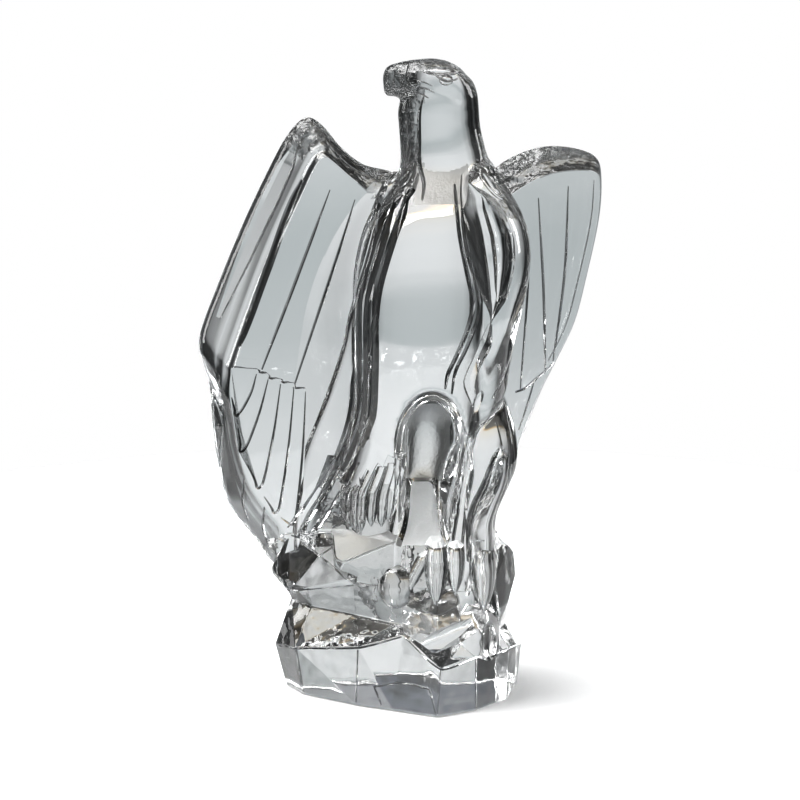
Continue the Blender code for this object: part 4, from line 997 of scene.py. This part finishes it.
def finish_and_painted_shade_of_faces(mesh):
    """For each face, which entry of the table of finishes and painted shade it gets."""
    places = np.zeros(len(mesh.polygons) * 3)
    normals = np.zeros(len(mesh.polygons) * 3)
    mesh.polygons.foreach_get("center", places)
    mesh.polygons.foreach_get("normal", normals)
    places = places.reshape(-1, 3) / MM
    x, y, z = places.T
    to_right, to_back, upwards = normals.reshape(-1, 3).T

    # Frosted skin under the neck, whose dark tint is painted shade.
    painted_shade_under_neck = (z > 193.5) & (z < 204.5 + 0.03 * (x - 15) ** 2) & (np.abs(x - 15) < 10) & (y < -4)
    # Painted shade on the back wall of the hollow between the legs, which is also matt.
    painted_shade_on_niche_wall = (np.abs(x - 10) < 9) & (z > 86) & (z < 118) & (y > -14) & (y < 4) & (to_back < -0.3)
    niche_floor = (z > 58) & (z < 90) & (upwards > 0.6) & (y < 2) & (np.abs(x) < 25)
    # Painted shade on the top of the rock's ledge.
    painted_shade_on_ledge_top = (z > 57) & (z < 74) & (upwards > 0.3) & (x > -27) & (x < 0) & (y < -17)
    # Painted shade on the top of the rock's shelf.
    painted_shade_on_shelf_top = (x > -41) & (x < -2) & (y < 0) & (z > 21) & (z < 35.4) & (upwards > 0.25)
    # Painted shade on the toes and on the locks of the left leg.
    painted_shade_on_toes_and_locks = (x > -19) & (x < 19) & (z > 34) & (z < 61) & (y < -10) & (to_back < 0.3)
    painted_shade_on_toes_and_locks |= (x > -24) & (x < -3) & (z > 66) & (z < 92.5 + 0.49 * x) & (y < -10) & (to_back < 0.3)
    # Rough-cast skin with painted shade: on faces that look up, beside the left leg, and in the patches.
    rough_cast_and_painted_shade = (z > 184) & (upwards > 0.42) & (np.abs(x - 14) > 22)
    rough_cast_and_painted_shade |= (x > -31) & (x < -17) & (z > 66) & (z < 96) & (y > -8) & (y < 6) & (to_right > -0.5)
    for centre, radius in ROUGH_PATCHES:
        rough_cast_and_painted_shade |= np.linalg.norm(places - centre, axis=1) < radius

    # Where regions overlap, the first one counts
    regions = {
        "ledge": painted_shade_on_ledge_top,
        "frosted_painted_shade": painted_shade_under_neck,
        "matt_painted_shade": painted_shade_on_niche_wall,
        "rippled_painted_shade": painted_shade_on_shelf_top,
        "toe": painted_shade_on_toes_and_locks,
        "rough_cast_painted_shade": rough_cast_and_painted_shade,
        "satin": niche_floor,
        # The rock's faces, and low faces that face back, get a slight painted shade.
        "ground": (to_back > 0.3) & (z < 70),
        "rock": (z < 62) & (z > 0.4),
    }
    names = list(FINISHES_AND_PAINTED_SHADE)
    found = [names.index(name) for name in regions]
    return np.select(list(regions.values()), found, names.index("polished"))


def add_node(tree, kind, *values):
    """A node whose first inputs get the values: numbers, colours, or outputs to link."""
    node = tree.nodes.new(kind)
    for socket, value in zip(node.inputs, values):
        if isinstance(value, bpy.types.NodeSocket):
            tree.links.new(value, socket)
        else:
            socket.default_value = value
    return node


def add_math(tree, operation, *values):
    """The output of a math node."""
    node = add_node(tree, "ShaderNodeMath", *values)
    node.operation = operation
    return node.outputs[0]


def crystal_material(name, roughness, ripple, ripple_depth, grain, grain_depth, tint_and_painted_shade, clear):
    """Clear crystal with one of the finishes, and painted shade where its tint is dark. ripple and grain are
    the scales of its waves and of its grain.
    """
    material = bpy.data.materials.new(name)
    material.use_nodes = True
    tree = material.node_tree
    shader = tree.nodes["Principled BSDF"]
    # The base colour is the crystal's own where it is near white, and painted shade where it is darker.
    shader.inputs["Base Color"].default_value = (*tint_and_painted_shade, 1.0)
    shader.inputs["Roughness"].default_value = roughness
    shader.inputs["IOR"].default_value = CRYSTAL_IOR
    shader.inputs["Transmission Weight"].default_value = clear
    place = add_node(tree, "ShaderNodeTexCoord").outputs["Object"]
    layers = []
    for scale, depth in ((ripple, ripple_depth), (grain, grain_depth)):
        noise = add_node(tree, "ShaderNodeTexNoise", place)
        noise.inputs["Scale"].default_value = 1 / (scale * MM)
        noise.inputs["Detail"].default_value = 2.0
        layers.append(add_math(tree, "MULTIPLY", noise.outputs["Fac"], depth))
    bump = add_node(tree, "ShaderNodeBump")
    bump.inputs["Distance"].default_value = MM
    bump.inputs["Strength"].default_value = 1.0
    tree.links.new(add_math(tree, "ADD", *layers), bump.inputs["Height"])
    tree.links.new(bump.outputs["Normal"], shader.inputs["Normal"])
    return material


def add_figure():
    """The figure in its crystal, in place of the plain solid."""
    mesh = figure_mesh()
    figure = bpy.data.objects.new("crystal_figure", mesh)
    bpy.context.scene.collection.objects.link(figure)
    mesh.materials.clear()
    for name, finish_and_shade in FINISHES_AND_PAINTED_SHADE.items():
        mesh.materials.append(crystal_material(f"{name}_crystal", *finish_and_shade))
    # Each face gets the material of its region, several of them with painted shade in their tint.
    mesh.polygons.foreach_set("material_index", finish_and_painted_shade_of_faces(mesh).astype(np.int32))
    mesh.shade_smooth()
    mesh.set_sharp_from_angle(angle=SHARP_ANGLE)
    weighted = figure.modifiers.new("flat panels stay flat", "WEIGHTED_NORMAL")
    weighted.keep_sharp = True
    weighted.weight = 50
    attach(figure, "root")
    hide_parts("crystal_eagle")


# ---- the studio


# Here lengths are in metres.

# What stands round the figure, by height: (degrees above the horizon, colour)
BY_HEIGHT = [
    (-90, (0.45, 0.45, 0.44)), (-68, (0.4, 0.4, 0.39)), (-62, (0.08, 0.08, 0.078)),
    (-50, (0.1, 0.098, 0.094)), (-38, (0.24, 0.235, 0.22)), (-36.5, (0.7, 0.55, 0.34)),
    (-35.5, (0.88, 0.86, 0.8)), (-27, (0.87, 0.88, 0.88)), (-21, (0.84, 0.86, 0.87)),
    (-16, (0.81, 0.83, 0.84)), (-13, (0.73, 0.755, 0.765)), (-10, (0.58, 0.615, 0.625)),
    (-8, (0.55, 0.59, 0.6)), (-5, (0.68, 0.71, 0.72)), (0, (0.66, 0.69, 0.7)), (5, (0.46, 0.48, 0.49)),
    (20, (0.4, 0.41, 0.43)), (25, (0.22, 0.24, 0.27)), (30, (0.08, 0.085, 0.09)),
    (47, (0.12, 0.122, 0.125)), (53, (0.05, 0.052, 0.053)), (64, (0.05, 0.052, 0.053)),
    (90, (0.3, 0.31, 0.315)),
]
# How strongly the turn counts, by height: (degrees above the horizon, share)
TURN_BY_HEIGHT = [(-90, 0.5), (-60, 0.8), (-45, 1.0), (-3, 1.0), (4, 0.5), (30, 0.5), (90, 0.5)]
# And the light by the turn away from straight behind: (degrees, share)
BY_TURN = [
    (0, 1), (13, 0.96), (19, 0.76), (24, 0.36), (28, 0.06), (38, 0.03), (43, 0.14), (47, 0.12), (51, 0.04),
    (70, 0.03), (86, 0.2), (92, 0.2), (100, 0.05), (130, 0.05), (150, 0.1), (165, 0.5), (180, 0.6),
]
FLOOR_RADIUS = 0.42
FLOOR_HEIGHT = -0.0003
# Lamps: (place, (width, height), watts)
LAMPS = {
    "softbox_above": ((-0.35, -0.1, 1.1), (0.9, 0.9), 30),
    "softbox_left": ((-1.1, -0.3, 0.5), (0.25, 0.9), 6),
    "softbox_right": ((1.1, 0.2, 0.6), (0.25, 0.9), 5),
}
LAMP_TARGET = Vector((0, 0, 0.12))
CAMERA_TARGET = Vector((0, 0, 0.1167))
CAMERA_RISE = math.radians(12)
CAMERA_DISTANCE = 0.8444
CAMERA_LENS = 100
VIEW_GAMMA = 0.82


def add_ramp(tree, value, stops):
    """A colour ramp over value, from stops of (place, colour)."""
    ramp = add_node(tree, "ShaderNodeValToRGB", value)
    elements = ramp.color_ramp.elements
    ramp.color_ramp.interpolation = "EASE"
    for index, (place, colour) in enumerate(stops):
        stop = elements[index] if index < 2 else elements.new(place)
        stop.position = place
        stop.color = (*colour, 1)
    return ramp.outputs["Color"]


def add_world():
    """Pale card behind and dark card beside and above, which gives cut edges their dark lines.

    Seen directly, the surroundings are white.
    """
    world = bpy.data.worlds.new("studio")
    bpy.context.scene.world = world
    world.use_nodes = True
    tree = world.node_tree
    tree.nodes.clear()
    place = add_node(tree, "ShaderNodeTexCoord")
    split = add_node(tree, "ShaderNodeSeparateXYZ", place.outputs["Generated"])
    height = add_math(tree, "ARCSINE", split.outputs["Z"])
    height = add_math(tree, "ADD", add_math(tree, "DIVIDE", height, math.pi), 0.5)
    by_height = add_ramp(tree, height, [((degrees + 90) / 180, c) for degrees, c in BY_HEIGHT])
    turn = add_math(tree, "ARCTAN2", split.outputs["X"], split.outputs["Y"])
    turn = add_math(tree, "DIVIDE", add_math(tree, "ABSOLUTE", turn), math.pi)
    by_turn = add_ramp(tree, turn, [(degrees / 180, (c, c, c)) for degrees, c in BY_TURN])
    counts = [((degrees + 90) / 180, (share, share, share)) for degrees, share in TURN_BY_HEIGHT]
    shade = add_node(tree, "ShaderNodeMix")
    shade.data_type = "RGBA"
    shade.blend_type = "MULTIPLY"
    tree.links.new(add_ramp(tree, height, counts), shade.inputs["Factor"])
    tree.links.new(by_height, shade.inputs["A"])
    tree.links.new(by_turn, shade.inputs["B"])
    around = add_node(tree, "ShaderNodeBackground", shade.outputs["Result"])
    seen_directly = add_node(tree, "ShaderNodeBackground", (1, 1, 1, 1))
    from_camera = add_node(tree, "ShaderNodeLightPath").outputs["Is Camera Ray"]
    mixed = add_node(
        tree, "ShaderNodeMixShader", from_camera, around.outputs[0], seen_directly.outputs[0]
    )
    add_node(tree, "ShaderNodeOutputWorld", mixed.outputs[0])


def add_floor():
    """A plain pale disc just under the figure, which isn't seen through the crystal."""
    mesh = bpy.data.meshes.new("floor")
    turns = np.linspace(0, 2 * math.pi, 128, endpoint=False)
    corners = [(FLOOR_RADIUS * math.cos(a), FLOOR_RADIUS * math.sin(a), FLOOR_HEIGHT) for a in turns]
    mesh.from_pydata(corners, [], [tuple(range(len(corners)))])
    floor = bpy.data.objects.new("floor", mesh)
    bpy.context.scene.collection.objects.link(floor)
    material = bpy.data.materials.new("floor")
    material.use_nodes = True
    shader = material.node_tree.nodes["Principled BSDF"]
    shader.inputs["Base Color"].default_value = (0.93, 0.93, 0.93, 1)
    shader.inputs["Roughness"].default_value = 0.6
    shader.inputs["Specular IOR Level"].default_value = 0.2
    mesh.materials.append(material)
    floor.visible_transmission = False


def add_lamp(name, place, size, watts):
    """A rectangular lamp which points at the figure."""
    light = bpy.data.lights.new(name, "AREA")
    light.shape = "RECTANGLE"
    light.size, light.size_y = size
    light.energy = watts
    lamp = bpy.data.objects.new(name, light)
    lamp.location = place
    lamp.rotation_euler = (LAMP_TARGET - Vector(place)).to_track_quat("-Z", "Y").to_euler()
    bpy.context.scene.collection.objects.link(lamp)


def add_camera():
    """A long lens that looks a little down at the eagle's chest."""
    camera = bpy.data.objects.new("camera", bpy.data.cameras.new("camera"))
    bpy.context.scene.collection.objects.link(camera)
    camera.data.lens = CAMERA_LENS
    back = Vector((0, -math.cos(CAMERA_RISE), math.sin(CAMERA_RISE)))
    camera.location = CAMERA_TARGET + back * CAMERA_DISTANCE
    camera.rotation_euler = (-back).to_track_quat("-Z", "Y").to_euler()
    bpy.context.scene.camera = camera


def main():
    """Build the scene."""
    add_figure()
    add_world()
    add_floor()
    for name, lamp in LAMPS.items():
        add_lamp(name, *lamp)
    add_camera()
    scene = bpy.context.scene
    scene.view_settings.view_transform = "Standard"
    scene.view_settings.gamma = VIEW_GAMMA
    scene.cycles.max_bounces = 32
    scene.cycles.transmission_bounces = 32
    scene.cycles.glossy_bounces = 16


main()
